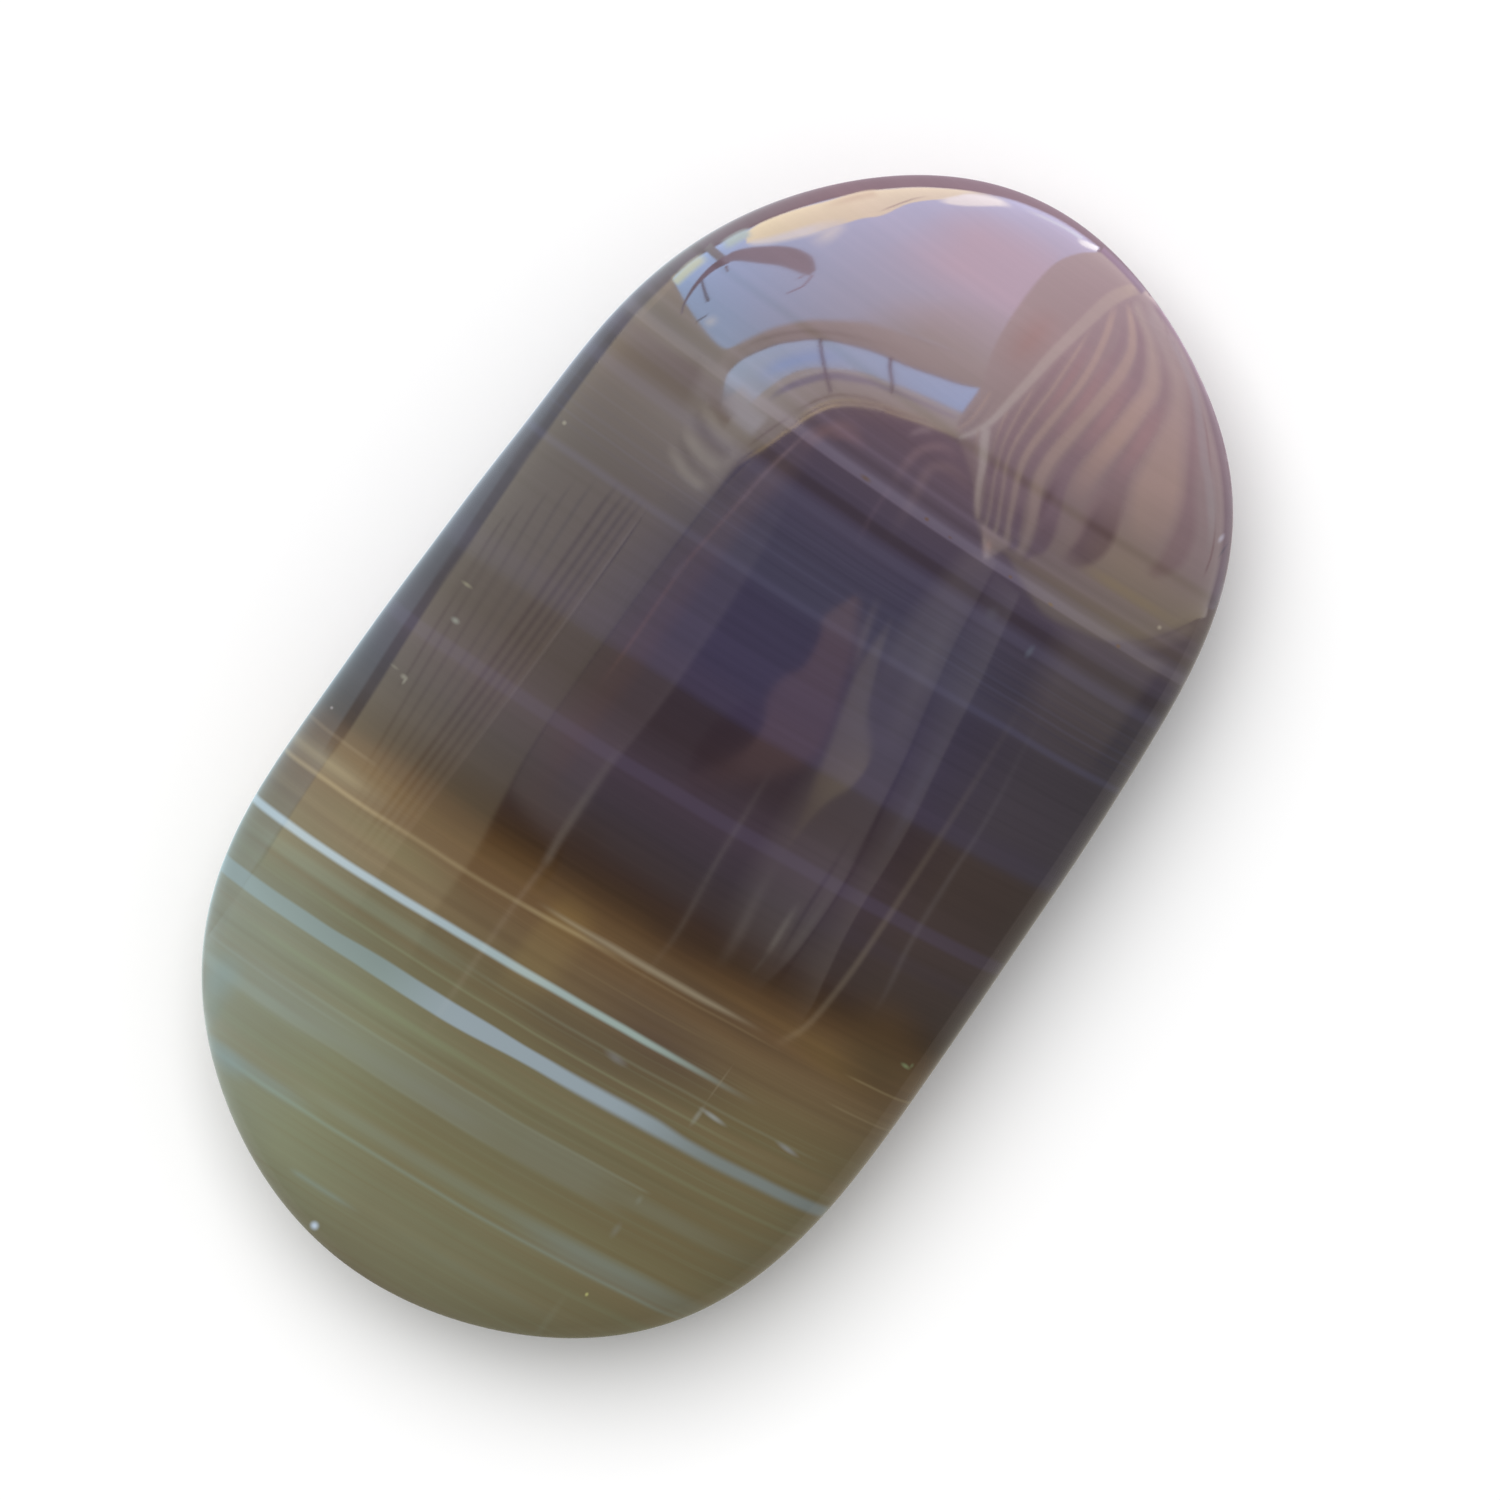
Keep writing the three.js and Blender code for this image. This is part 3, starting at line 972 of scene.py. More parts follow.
# Gleams on the wall and on the sky's edges: where each runs, its widths, its light, its blur and
# how much of its length fades out.
cloud_white = (8.6, 8.6, 8.4)
for path, widths, light, soft, fades in (
    ([(16.75, 10.8), (17.5, 10.05), (18.5, 9.2), (19.6, 8.3)], [0.12, 0.25, 0.35, 0.4], cloud_white,
     0.2, (0.1, 0.3)),
    ([(18.2, 8.75), (18.9, 8.4), (19.9, 8.05)], [0.3, 0.45, 0.2], (7.0, 7.4, 8.0), 0.4, (0.5, 0.3)),
    ([(13.2, 10.3), (13.8, 10.0)], [0.3, 0.2], (6.0, 6.6, 7.4), 0.3, (0.3, 0.5)),
    ([(13.9, 12.2), (14.7, 12.05), (15.5, 11.8)], [0.32, 0.36, 0.3], (6.2, 7.2, 5.7), 0.2, (0.0, 0.2)),
    ([(16.1, 11.5), (16.8, 11.2), (17.3, 10.9)], [0.35, 0.35, 0.3], (4.6, 6.4, 6.2), 0.2, (0.2, 0.2)),
    ([(22.5, 5.7), (22.85, 5.2), (23.2, 4.75), (23.55, 4.2), (23.85, 3.65), (24.05, 3.1)],
     [0.1, 0.3, 0.46, 0.4, 0.25, 0.1], (9.5, 9.5, 9.4), 0.1, (0.15, 0.2)),
    ([(24.2, 2.8), (24.4, 1.9), (24.55, 1.0), (24.6, 0.2)], [0.1, 0.1, 0.1, 0.12], (5.4, 6.2, 7.4),
     0.08, (0.3, 0.0)),
    ([(24.45, 0.35), (24.52, -0.1), (24.62, -0.55)], [0.12, 0.22, 0.16], (9.0, 9.2, 9.6), 0.08,
     (0.3, 0.0)),
    ([(20.8, 7.3), (21.4, 6.92), (22.0, 6.5), (22.5, 6.05)], [0.05] * 4, (3.6, 3.0, 2.2), 0.05,
     (0.2, 0.4)),
    ([(19.6, 9.25), (20.4, 8.65), (21.1, 8.05), (21.4, 7.7)], [0.25] * 4, (7.0, 5.9, 3.8), 0.2,
     (0.4, 0.2)),
):
    hang_strip(path, widths, light, soft, fades)

# The transom arches between the sky and the lower pane, which lies between it and the sill.
transom_low = [
    (12.2, 8.42), (12.8, 8.35), (13.3, 8.15), (13.8, 7.85), (14.3, 7.5), (14.8, 7.0), (15.2, 6.55),
    (15.6, 5.9), (15.9, 5.2), (16.2, 4.4), (16.4, 3.6), (16.6, 2.7), (16.9, 1.7), (17.2, 0.7),
    (17.5, 0.0),
]
transom_high = [
    (12.3, 8.9), (12.8, 8.95), (13.4, 8.75), (14, 8.45), (14.65, 8.05), (15.28, 7.53), (15.8, 7.0),
    (16.22, 6.4), (16.7, 5.68), (17.08, 4.95), (17.42, 4.0), (17.7, 3.0), (18.0, 1.8), (18.2, 0.9),
    (18.4, 0.1),
]
hang_sheet(
    transom_low, transom_high, ((2.5, 2.1, 1.6), (2.6, 2.4, 1.9), (3.0, 2.6, 2.1), (3.3, 3.1, 2.8)),
    (0.04, 0.2),
)
pane_inner = [
    (11.3, 7.1), (11.9, 6.98), (12.5, 6.85), (13.2, 6.6), (13.8, 6.3), (14.3, 5.85), (14.8, 5.1),
    (15.1, 4.6), (15.4, 3.9), (15.6, 3.1), (15.8, 2.4), (16, 1.5), (16.15, 0.7), (16.3, 0.03),
]
hang_sheet(
    pane_inner, [(11.1, 7.9), (11.7, 8.25), *transom_low],
    ((4.3, 4.6, 5.0), (3.2, 5.1, 8.2), (4.6, 5.8, 7.4), (3.4, 5.3, 8.4)), (0.06, 0.02), (0.12, 0.0),
)
hang_strip(
    [(12.6, 7.35), (13.5, 7.0), (14.4, 6.35), (15.1, 5.5), (15.5, 4.6)], 0.5,
    ((3.0, 4.6, 7.8), (2.9, 4.7, 7.9)), 0.4, (0.3, 0.4),
)
hang_strip(transom_low, 0.07, ((1.9, 1.7, 1.4), (1.3, 1.2, 1.2)), 0.04, (0.15, 0.1))
hang_strip(
    [(13, 8.66), (13.8, 8.3), (14.5, 7.78), (15.1, 7.18), (15.6, 6.5), (16.0, 5.8), (16.35, 5.0),
     (16.65, 4.2), (16.9, 3.3), (17.15, 2.3)], 0.14, ((1.7, 1.5, 1.0), (2.2, 2.0, 1.5)), 0.12,
    (0.2, 0.5),
)
hang_sheet(
    [(9.4, 6.2), (10, 6.0), (11, 5.53), (12, 5.13), (12.9, 4.73), (13.6, 4.22), (14.1, 3.6),
     (14.5, 2.8), (14.8, 1.95), (15.1, 1.0), (15.3, 0.2), (15.4, -0.35)],
    [(9.8, 7.0), (10.6, 7.3), *pane_inner],
    ((2.6, 2.2, 1.5), (3.2, 2.9, 2.2), (3.9, 3.5, 2.8), (3.9, 3.8, 3.6)), (0.04, 0.04), (0.1, 0.0),
)
hang_strip([(11.2, 6.1), (11.35, 7.0), (11.7, 7.9)], 0.9, (4.6, 4.4, 4.2), 0.4, (0.1, 0.1))
# The reveal and its edge, the sill's dark and golden lines, and last the pane's two posts, given
# as the gleams are.
reveal_mauve = (1.4, 1.4, 1.9)
reveal_edge = (4.6, 4.5, 4.4)
sill_dark = (0.5, 0.3, 0.1)
sill_gold = (4.2, 3.3, 1.6)
for path, widths, lights, soft, fades in (
    ([(12.2, 6.5), (12.7, 6.4), (13.2, 6.15), (13.7, 5.8), (14.2, 5.4), (14.6, 4.9), (14.9, 4.3),
      (15.2, 3.6), (15.35, 3.0), (15.6, 2.0), (15.8, 1.0), (16, 0.1)],
     [0.15, 0.2, 0.25, 0.28, 0.28, 0.28, 0.25, 0.2, 0.16, 0.13, 0.12, 0.1],
     (reveal_mauve, (2.2, 2.2, 2.8)), 0.1, (0.15, 0.0)),
    ([(13.6, 6.2), (14, 5.9), (14.5, 5.4), (14.9, 4.9), (15.2, 4.3), (15.4, 3.6), (15.55, 3.0),
      (15.8, 2.0), (15.95, 1.2), (16.15, 0.2)], 0.06, reveal_edge, 0.05, (0.1, 0.0)),
    ([(12.3, 5.5), (13.0, 5.17), (13.5, 4.9), (14.05, 4.4), (14.5, 3.6), (14.8, 2.8), (15.05, 2.0)],
     0.1, ((1.5, 1.2, 0.5), (1.5, 1.2, 0.6)), 0.06, (0.2, 0.3)),
    ([(12.2, 5.22), (12.8, 5.02), (13.4, 4.7), (13.9, 4.25), (14.35, 3.5), (14.7, 2.75), (14.95, 2.0),
      (15.2, 1.2), (15.38, 0.4)], 0.09, ((4.4, 3.5, 1.7), (3.6, 3.0, 1.5)), 0.05, (0.2, 0.2)),
    ([(11.5, 5.4), (12.3, 5.08), (13, 4.8), (13.6, 4.37), (14.1, 3.75), (14.5, 3.05), (14.78, 2.3),
      (15.05, 1.5), (15.28, 0.6)], 0.1, sill_dark, 0.05, (0.2, 0.3)),
    ([(10.2, 6.15), (10.9, 5.95), (11.5, 5.75), (12, 5.55), (12.3, 5.45)], 0.08, (1.6, 1.2, 0.7), 0.06,
     (0.2, 0.2)),
    ([(9.4, 6.08), (10, 5.86), (10.5, 5.66), (11, 5.45), (11.5, 5.3), (12, 5.1), (12.5, 4.95),
      (13, 4.72), (13.5, 4.4), (13.75, 4.12)], 0.13, ((3.2, 2.4, 1.2), (5.4, 4.2, 2.1)), 0.05,
     (0.2, 0.0)),
    ([(13.75, 4.12), (14, 3.8), (14.25, 3.38), (14.5, 2.87), (14.62, 2.6)], 0.11,
     ((4.6, 3.8, 2.5), (4.4, 3.7, 2.4)), 0.05, (0.0, 0.0)),
    ([(14.6, 2.55), (14.8, 1.9), (15.0, 1.25), (15.2, 0.55), (15.35, 0.0), (15.4, -0.35)], 0.1,
     (sill_gold, (3.0, 2.7, 1.8)), 0.05, (0.0, 0.0)),
    ([(15.42, 6.3), (14.95, 5.85), (14.4, 5.25), (13.95, 4.7)], 0.13,
     ((0.1, 0.1, 0.2), (0.3, 0.2, 0.2)), 0.04, (0.0, 0.0)),
    ([(16.42, 3.6), (16, 3.3), (15.65, 2.95), (15.2, 2.65)], 0.14, ((0.2, 0.2, 0.3), (0.8, 0.7, 0.7)),
     0.05, (0.0, 0.2)),
):
    hang_strip(path, widths, lights, soft, fades)

# A bent lamp arm and its shade stand in front of the sky.
arm_grey = (1.5, 1.5, 1.8)
arm_dark = (0.3, 0.5, 0.6)
hook_red = (1.9, 1.5, 2.0)
hang_strip([(15.72, 11.1), (15.76, 11.6), (15.8, 12.0)], 0.36, (1.4, 1.7, 1.6), 0.06)
for path, widths, light, soft in (
    ([(13.05, 11.27), (13.4, 11.41), (14, 11.48), (14.7, 11.44), (15.3, 11.3), (15.85, 11.05)],
     [0.07, 0.08, 0.12, 0.17, 0.24, 0.32], (0.9, 0.8, 1.0), 0.05),
    ([(15.7, 11.15), (16.1, 10.9), (16.45, 10.5), (16.8, 10.0), (17.15, 9.45), (17.38, 8.9),
      (17.45, 8.4), (17.35, 8.02)], [0.2, 0.38, 0.55, 0.68, 0.78, 0.85, 0.78, 0.35], arm_grey, 0.08),
    ([(14.58, 11.4), (14.3, 11.05), (14.05, 10.7)], [0.1, 0.13, 0.15], arm_dark, 0.05),
    ([(13.15, 10.62), (13.6, 10.42)], [0.06, 0.04], arm_dark, 0.04),
    ([(15.6, 10.95), (15.45, 10.75)], [0.12, 0.08], arm_grey, 0.05),
    ([(16.1, 8.38), (16.4, 8.2), (16.75, 8.02), (17.3, 7.97)], [0.04, 0.05, 0.06, 0.08], hook_red,
     0.03),
    ([(16.83, 8.36), (17.05, 8.25)], [0.05, 0.06], hook_red, 0.03),
):
    hang_strip(path, widths, light, soft)


# ---------------------------------------------------------------------------------------------
# The curtain: a rosy cloth gathered at the window's near corner, whose folds fan out from there
# and crowd together again along the stone's rim.

curtain_top = (2.9, 2.6, 2.3)
hang_sheet(
    [(15.4, -0.3), (16, 0.0), (17.5, 0.05), (18.5, 0.35), (19.5, 0.58), (21, 0.68), (22.3, 0.64),
     (23.3, 0.45), (24, 0.0), (24.4, -0.45), (24.7, -0.9)],
    [(15.4, -0.45), (16.3, -1.0), (17.3, -1.2), (19, -1.4), (21, -1.65), (22, -1.8), (23, -2.0),
     (23.6, -2.2), (24.05, -2.5), (24.3, -2.8)],
    (curtain_top, curtain_top, (2.5, 2.2, 1.8), (2.6, 2.2, 2.0)), (0.1, 0.1),
)
hang_sheet(
    [(15.35, -0.5), (14.35, -1.85), (13.4, -2.65), (12.85, -3.35), (12.75, -4.6), (12.5, -5.2),
     (12.05, -6.2), (11.75, -7.2), (11.9, -8.6), (12.3, -9.8), (13.0, -10.8), (13.9, -11.5),
     (15.1, -12.2)],
    [(15.45, -0.5), (17, -1.15), (20, -1.5), (22.5, -1.9), (24.3, -2.7), (24.1, -4), (23.5, -5.5),
     (22.7, -6.9), (21.8, -8.1), (20.6, -9.4), (19.2, -10.6), (17.6, -11.6), (15.3, -12.4)],
    ((0.7, 0.6, 0.35), (1.7, 1.5, 0.8), (2.5, 2.1, 2.0), (1.7, 1.6, 1.5)), (0.2, 0.15),
)
# The shadowed gaps between the folds: where each runs, its width, its light and its blur.
gap_near = (0.20, 0.16, 0.12)
gap_mid = (0.95, 0.75, 0.55)
gap_rim = (1.9, 1.5, 1.5)
gaps = (
    ([(13.2, -3.12), (13.6, -2.92), (14, -2.75), (14.5, -2.5), (15, -2.25), (15.3, -2.08),
      (15.6, -1.95), (16, -1.82), (16.6, -1.66), (17.2, -1.57), (17.9, -1.57)], 0.18, gap_near, 0.05),
    ([(13.0, -3.56), (13.4, -3.43), (14, -3.17), (14.5, -2.92), (15, -2.65), (15.4, -2.47), (16, -2.25),
      (17, -2.05), (18, -1.98), (19, -1.98), (20, -1.96), (21, -1.95)], 0.24, gap_near, 0.07),
    ([(12.9, -3.98), (13.3, -3.92), (13.6, -3.8), (14, -3.6), (14.5, -3.36), (15, -3.13), (15.4, -2.93),
      (16, -2.72), (17, -2.6), (18, -2.6), (19, -2.62), (20, -2.58), (21, -2.5), (22.3, -2.35)], 0.28,
     gap_near, 0.1),
    ([(12.95, -4.6), (13.3, -4.6), (13.6, -4.42), (14, -4.22), (14.5, -3.98), (15, -3.78),
      (15.4, -3.62), (16, -3.42), (17, -3.35), (18, -3.42), (19, -3.52), (20, -3.55), (21, -3.6),
      (22, -3.5), (22.6, -3.22), (23.3, -2.65)],
     [0.22, 0.24, 0.3, 0.38, 0.36, 0.34, 0.34, 0.34, 0.34, 0.34, 0.34, 0.34, 0.34, 0.3, 0.2, 0.1],
     gap_near, 0.12),
    ([(12.9, -5.28), (13.3, -5.34), (13.7, -5.44), (14.1, -5.4), (14.5, -5.26), (15, -5.1),
      (15.4, -4.98), (16, -4.75), (17, -4.55), (18, -4.6), (19, -4.65), (20, -4.75), (21, -4.8),
      (22, -4.5), (22.5, -4.2), (23, -3.75), (23.4, -3.2), (23.7, -2.75)],
     [0.16, 0.24, 0.54, 0.68, 0.66, 0.72, 0.74, 0.66, 0.6, 0.56, 0.56, 0.56, 0.5, 0.4, 0.34, 0.26, 0.16,
      0.1], gap_near, 0.15),
    ([(13.6, -6.5), (14.5, -7.0), (15.2, -7.0), (16.2, -6.8), (17.2, -6.6), (18.4, -6.35), (20, -6.3),
      (21, -6.25), (21.5, -6.1), (22, -5.75), (22.4, -5.4), (22.8, -4.9), (23.2, -4.3), (23.6, -3.5),
      (23.85, -3.05)],
     [0.3, 1.0, 1.3, 1.4, 1.1, 0.7, 0.6, 0.55, 0.48, 0.4, 0.34, 0.28, 0.22, 0.16, 0.12], gap_mid, 0.4),
    ([(15.3, -9.5), (15.8, -9.85), (16.5, -10.0), (17.5, -9.8), (18.3, -9.4), (19, -8.95), (20, -8.4),
      (21, -7.7), (22, -6.85), (22.5, -6.2), (23, -5.3), (23.4, -4.5)],
     [0.3, 0.6, 0.9, 0.85, 0.65, 0.5, 0.4, 0.34, 0.3, 0.24, 0.18, 0.12], gap_mid, 0.35),
    ([(16.5, -11.45), (17.5, -11.15), (18.5, -10.6), (19.3, -9.95), (20.2, -9.15), (21.3, -8.15),
      (22.3, -7.0), (22.8, -6.2), (23.4, -5.0), (23.8, -4.1)], 0.08, gap_mid, 0.06),
)
for path, widths, light, soft in gaps:
    hang_strip(path, widths, (light, gap_rim), soft, (0.05, 0.1))
# The gaps are darkest where the folds gather.
for path, widths, light in (
    ([(13.3, -5.4), (13.7, -5.5), (14.3, -5.42), (14.8, -5.32), (15.4, -5.2)],
     [0.2, 0.45, 0.6, 0.55, 0.3], (0.3, 0.25, 0.2)),
    ([(13.8, -6.65), (14.5, -7.02), (15.2, -7.15), (16.2, -6.95), (17.4, -6.7)],
     [0.4, 0.95, 1.2, 1.1, 0.6], (0.0, 0.0, 0.0)),
    ([(14.4, -4.95), (15.1, -4.72), (15.7, -4.6), (16.6, -4.55)], [0.15, 0.28, 0.3, 0.2],
     (0.1, 0.05, 0.0)),
    ([(13.5, -4.5), (13.9, -4.27), (14.3, -4.1), (14.7, -3.9)], [0.15, 0.3, 0.25, 0.15],
     (0.1, 0.1, 0.2)),
    ([(13.0, -4.62), (13.35, -4.66), (13.6, -4.5)], [0.15, 0.18, 0.12], (0.3, 0.3, 0.5)),
    ([(14.8, -2.35), (15.2, -2.15), (15.5, -2.0)], [0.12, 0.2, 0.1], (0.4, 0.3, 0.3)),
    ([(15.2, -3.75), (15.45, -3.5), (15.6, -2.9)], [0.2, 0.25, 0.2], (0.5, 0.4, 0.3)),
):
    hang_strip(path, widths, light, 0.28, (0.25, 0.35))
# The lit folds: where each runs, its width, its light at the near and the far end, and its blur.
fold_near = (1.75, 1.5, 1.0)
fold_far = (4.2, 3.3, 2.4)
fold_rim = (2.5, 2.4, 2.3)
folds = (
    ([(13.25, -2.88), (13.6, -2.62), (14, -2.35), (14.5, -2.08), (15, -1.85), (15.5, -1.56),
      (16, -1.25), (16.5, -1.05)], [0.12, 0.2, 0.24, 0.25, 0.28, 0.34, 0.36, 0.25], (2.5, 2.1, 1.3),
     (4.8, 4.6, 4.2), 0.08),
    ([(15.6, -1.9), (16, -1.72), (16.5, -1.56), (17, -1.44), (17.4, -1.38)], 0.07, fold_near, fold_far,
     0.05),
    ([(13.1, -3.32), (13.5, -3.2), (14, -2.98), (14.6, -2.66), (15, -2.46), (15.4, -2.3), (16, -2.07),
      (16.5, -1.93), (17, -1.84), (17.5, -1.77), (18.2, -1.71), (18.9, -1.67)], 0.07, fold_near,
     fold_far, 0.05),
    ([(13.1, -3.8), (13.5, -3.66), (14, -3.4), (14.5, -3.15), (15, -2.9), (15.3, -2.72), (15.6, -2.57),
      (16, -2.44), (16.5, -2.34), (17, -2.29), (18, -2.27), (19, -2.3), (20, -2.26), (21, -2.22),
      (22, -2.15)], 0.11, fold_near, fold_far, 0.06),
    ([(12.9, -4.33), (13.3, -4.25), (13.6, -4.1), (14, -3.9), (14.7, -3.58), (15.3, -3.3), (16, -3.05),
      (16.5, -2.96), (17, -2.94), (18, -2.98), (19, -3.05), (20, -3.08), (21, -3.0), (22, -2.8),
      (22.7, -2.58), (23.3, -2.35)], [0.14, 0.18, 0.18, 0.18, 0.2, 0.22, 0.25] + [0.26] * 9, fold_near,
     fold_far, 0.09),
    ([(13.0, -4.98), (13.5, -4.94), (14, -4.8), (14.5, -4.62), (15, -4.38), (15.4, -4.17), (16, -3.94),
      (16.5, -3.87), (17, -3.84), (18, -3.92), (19, -4.0), (20, -4.1), (21, -4.15), (22, -4.0),
      (22.5, -3.75), (23, -3.35), (23.35, -2.98), (23.6, -2.7)],
     [0.18, 0.24, 0.28, 0.34, 0.4, 0.42, 0.46, 0.46, 0.46, 0.46, 0.48, 0.5, 0.46, 0.36, 0.3, 0.24, 0.18,
      0.14], fold_near, fold_far, 0.14),
    ([(15.9, -5.5), (17.2, -5.4), (18.5, -5.45), (19.4, -5.5), (20.3, -5.5), (21, -5.5), (21.5, -5.4),
      (22, -5.1), (22.5, -4.7), (23, -4.2), (23.3, -3.75), (23.6, -3.2), (23.85, -2.9)],
     [0.6, 0.75, 0.75, 0.75, 0.72, 0.66, 0.6, 0.5, 0.4, 0.3, 0.26, 0.2, 0.14], (3.9, 2.75, 1.7),
     (3.2, 3.0, 2.5), 0.35),
    ([(16.2, -8.9), (17.2, -8.5), (18.2, -8.0), (19.3, -7.55), (20.2, -7.2), (21, -6.9), (21.7, -6.5),
      (22.3, -6.0), (22.7, -5.4), (23.1, -4.7), (23.5, -4.0), (23.85, -3.35)],
     [0.9, 1.7, 1.9, 1.5, 1.1, 0.8, 0.6, 0.45, 0.34, 0.26, 0.22, 0.16], (3.5, 2.6, 1.6), fold_rim, 0.6),
    ([(17.4, -11.05), (18.2, -10.65), (19, -10.05), (19.8, -9.35), (20.3, -8.8), (21, -8.15),
      (22, -7.2), (22.6, -6.4), (23.1, -5.5), (23.6, -4.5)],
     [0.2, 0.28, 0.34, 0.34, 0.32, 0.3, 0.28, 0.24, 0.2, 0.16], (2.2, 2.3, 2.1), (1.9, 1.8, 1.9), 0.16),
    ([(15.35, -0.4), (15.6, -0.56), (15.9, -0.76), (16.3, -0.96), (16.8, -1.11), (17.3, -1.19),
      (18, -1.27), (19, -1.4), (20, -1.5), (21, -1.66), (22, -1.84), (23, -2.03), (23.6, -2.25),
      (24.05, -2.55), (24.28, -2.85)],
     [0.09, 0.13, 0.17, 0.22, 0.25, 0.29, 0.33, 0.38, 0.44, 0.46, 0.5, 0.54, 0.54, 0.46, 0.3],
     (4.9, 4.8, 4.4), (3.5, 3.0, 2.2), 0.1),
    ([(15.6, -0.1), (15.9, -0.28), (16.4, -0.41), (17, -0.42), (17.7, -0.38)], 0.07, fold_far, fold_far,
     0.06),
    ([(15.1, -1.5), (15.5, -1.2), (15.9, -0.97), (16.2, -0.85)], 0.06, fold_near, fold_far, 0.05),
)
outer_folds = 15.8
for path, widths, start_light, end_light, soft in folds:
    fade_in = 0.2 if path[0][0] > outer_folds else 0.03
    hang_strip(path, widths, (start_light, end_light), soft, (fade_in, 0.08))
# Rosier cloth shows between the folds further out.
for path, width in (
    ([(17.5, -2.6), (19.5, -2.65), (21.5, -2.5)], 0.3),
    ([(17.5, -3.45), (19.5, -3.6), (21.8, -3.4)], 0.4),
    ([(17.5, -4.6), (19.5, -4.7), (21.4, -4.55)], 0.5),
    ([(17.5, -6.45), (19.5, -6.35), (21.2, -6.1)], 0.55),
):
    hang_strip(path, width, (2.4, 1.5, 1.3), width / 2, (0.4, 0.4))
hang_strip([(18.6, -0.35), (20.3, -0.5), (21.8, -0.65)], 0.9, (2.7, 1.75, 1.2), 0.9, (0.4, 0.4))
# The cloth darkens again where it meets the stone's rim.
hang_strip(
    [(24.2, -3.1), (24.05, -4.0), (23.55, -5.4), (22.9, -6.6), (22.1, -7.75), (21.05, -9.0),
     (19.95, -10.1), (18.65, -11.05), (17.25, -11.8), (15.7, -12.4)],
    [0.1, 0.3, 0.34, 0.34, 0.34, 0.34, 0.34, 0.3, 0.3, 0.3], ((1.1, 0.85, 1.05), (0.6, 0.6, 0.65)),
    0.18, (0.1, 0.0),
)
hang_strip(
    [(24.7, -0.7), (24.6, -1.5), (24.43, -2.4), (24.28, -3.0)], 0.22,
    ((1.2, 0.9, 1.4), (1.0, 0.9, 1.2)), 0.1,
)
hang_strip([(12.3, -10), (13, -11), (14, -11.8), (15.2, -12.4)], 0.4, (0.9, 0.8, 0.6), 0.5, (0.2, 0.2))
# Two thin folds run under the curtain's upper edge.
for path in (
    [(15.8, -0.1), (16.3, -0.24), (17.4, -0.22)],
    [(15.7, -0.38), (16.2, -0.6), (17.0, -0.66), (18, -0.6)],
):
    hang_strip(path, 0.12, ((1.7, 1.6, 1.5), (2.2, 2.0, 1.7)), 0.1, (0.1, 0.4))
# The cloth is pinched together at a small bright knot.
hang_sheet(
    [(12.1, -4.0), (12.6, -3.62), (13.2, -3.1)], [(12.15, -4.1), (12.8, -4.35), (13.2, -4.5)],
    ((2.4, 1.8, 1.2), (2.4, 1.9, 1.4), (2.2, 1.9, 1.5), (2.0, 1.7, 1.3)), (0.12, 0.15),
)
hang_strip([(12.4, -3.92), (12.6, -3.8), (12.75, -3.65)], 0.26, (4.6, 3.0, 2.2), 0.15, (0.2, 0.2))
hang_strip(
    [(12.1, -4.02), (12.4, -3.95), (12.6, -3.7), (12.8, -3.5)], 0.12,
    ((3.6, 3.2, 2.8), (3.4, 2.8, 2.2)), 0.1,
)


# ---------------------------------------------------------------------------------------------
# Faint folds of the tent's own cloth nearly overhead: soft at one edge and crisp at the other,
# with thin lines of light along their crests, two warm hollows and one pale leaf.

grey = (0.68, 0.60, 0.60)
black = (0.03, 0.03, 0.03)
hang_sheet(
    [(-7.4, 3.0), (-5, 3.2), (-2, 3.25), (1, 3.05), (5, 3.1), (9, 3.5), (11.5, 4.0)],
    [(-6.4, 5.8), (-4, 6.1), (0, 6.2), (3, 6.2), (6, 6.1), (8, 5.9), (11.5, 5.1)],
    ((0.62, 0.52, 0.55), (0.42, 0.38, 0.36), (0.60, 0.55, 0.50), (0.50, 0.42, 0.36)), (0.3, 0.1),
    (0.05, 0.3),
)
hang_sheet(
    [(-6.8, 4.6), (-3, 4.6), (1, 4.5), (5, 4.5), (9, 4.3), (12, 3.7)],
    [(-6.2, 5.9), (-3, 6.15), (1, 6.2), (5, 6.15), (9, 5.9), (12.3, 5.0)],
    ((0.72, 0.52, 0.45), (0.85, 0.55, 0.38), (0.80, 0.72, 0.55), (0.85, 0.65, 0.35)), (0.7, 0.1),
    (0.15, 0.15),
)
hang_sheet(
    [(7.2, 6.0), (9, 5.8), (10.5, 5.5), (11.8, 5.1), (13, 4.55), (13.8, 3.75), (14.4, 2.75),
     (14.8, 1.6), (15.1, 0.4)],
    [(7.2, 5.65), (9, 5.3), (10.5, 5.0), (11.8, 4.62), (12.8, 4.15), (13.5, 3.4), (14.0, 2.55),
     (14.4, 1.6), (14.8, 0.4)],
    ((0.6, 0.45, 0.35), (0.2, 0.15, 0.15), (0.5, 0.4, 0.32), (0.15, 0.12, 0.12)), (0.12, 0.2),
    (0.2, 0.2),
)
hang_sheet(
    [(-7, -6.6), (-5, -6.95), (-3, -7.0), (-1.2, -6.87), (0, -6.65), (2, -6.32), (4, -6.0), (6, -5.55),
     (8, -5.12), (9.5, -4.87), (12.3, -4.5)],
    [(-6.5, -4.0), (-3, -3.6), (0, -3.4), (3, -3.2), (6, -3.0), (9, -3.0), (12, -3.3)],
    ((0.85, 0.78, 0.72), (0.60, 0.55, 0.52), (0.38, 0.36, 0.34), (0.75, 0.65, 0.52)), (0.08, 0.8),
    (0.12, 0.0),
)
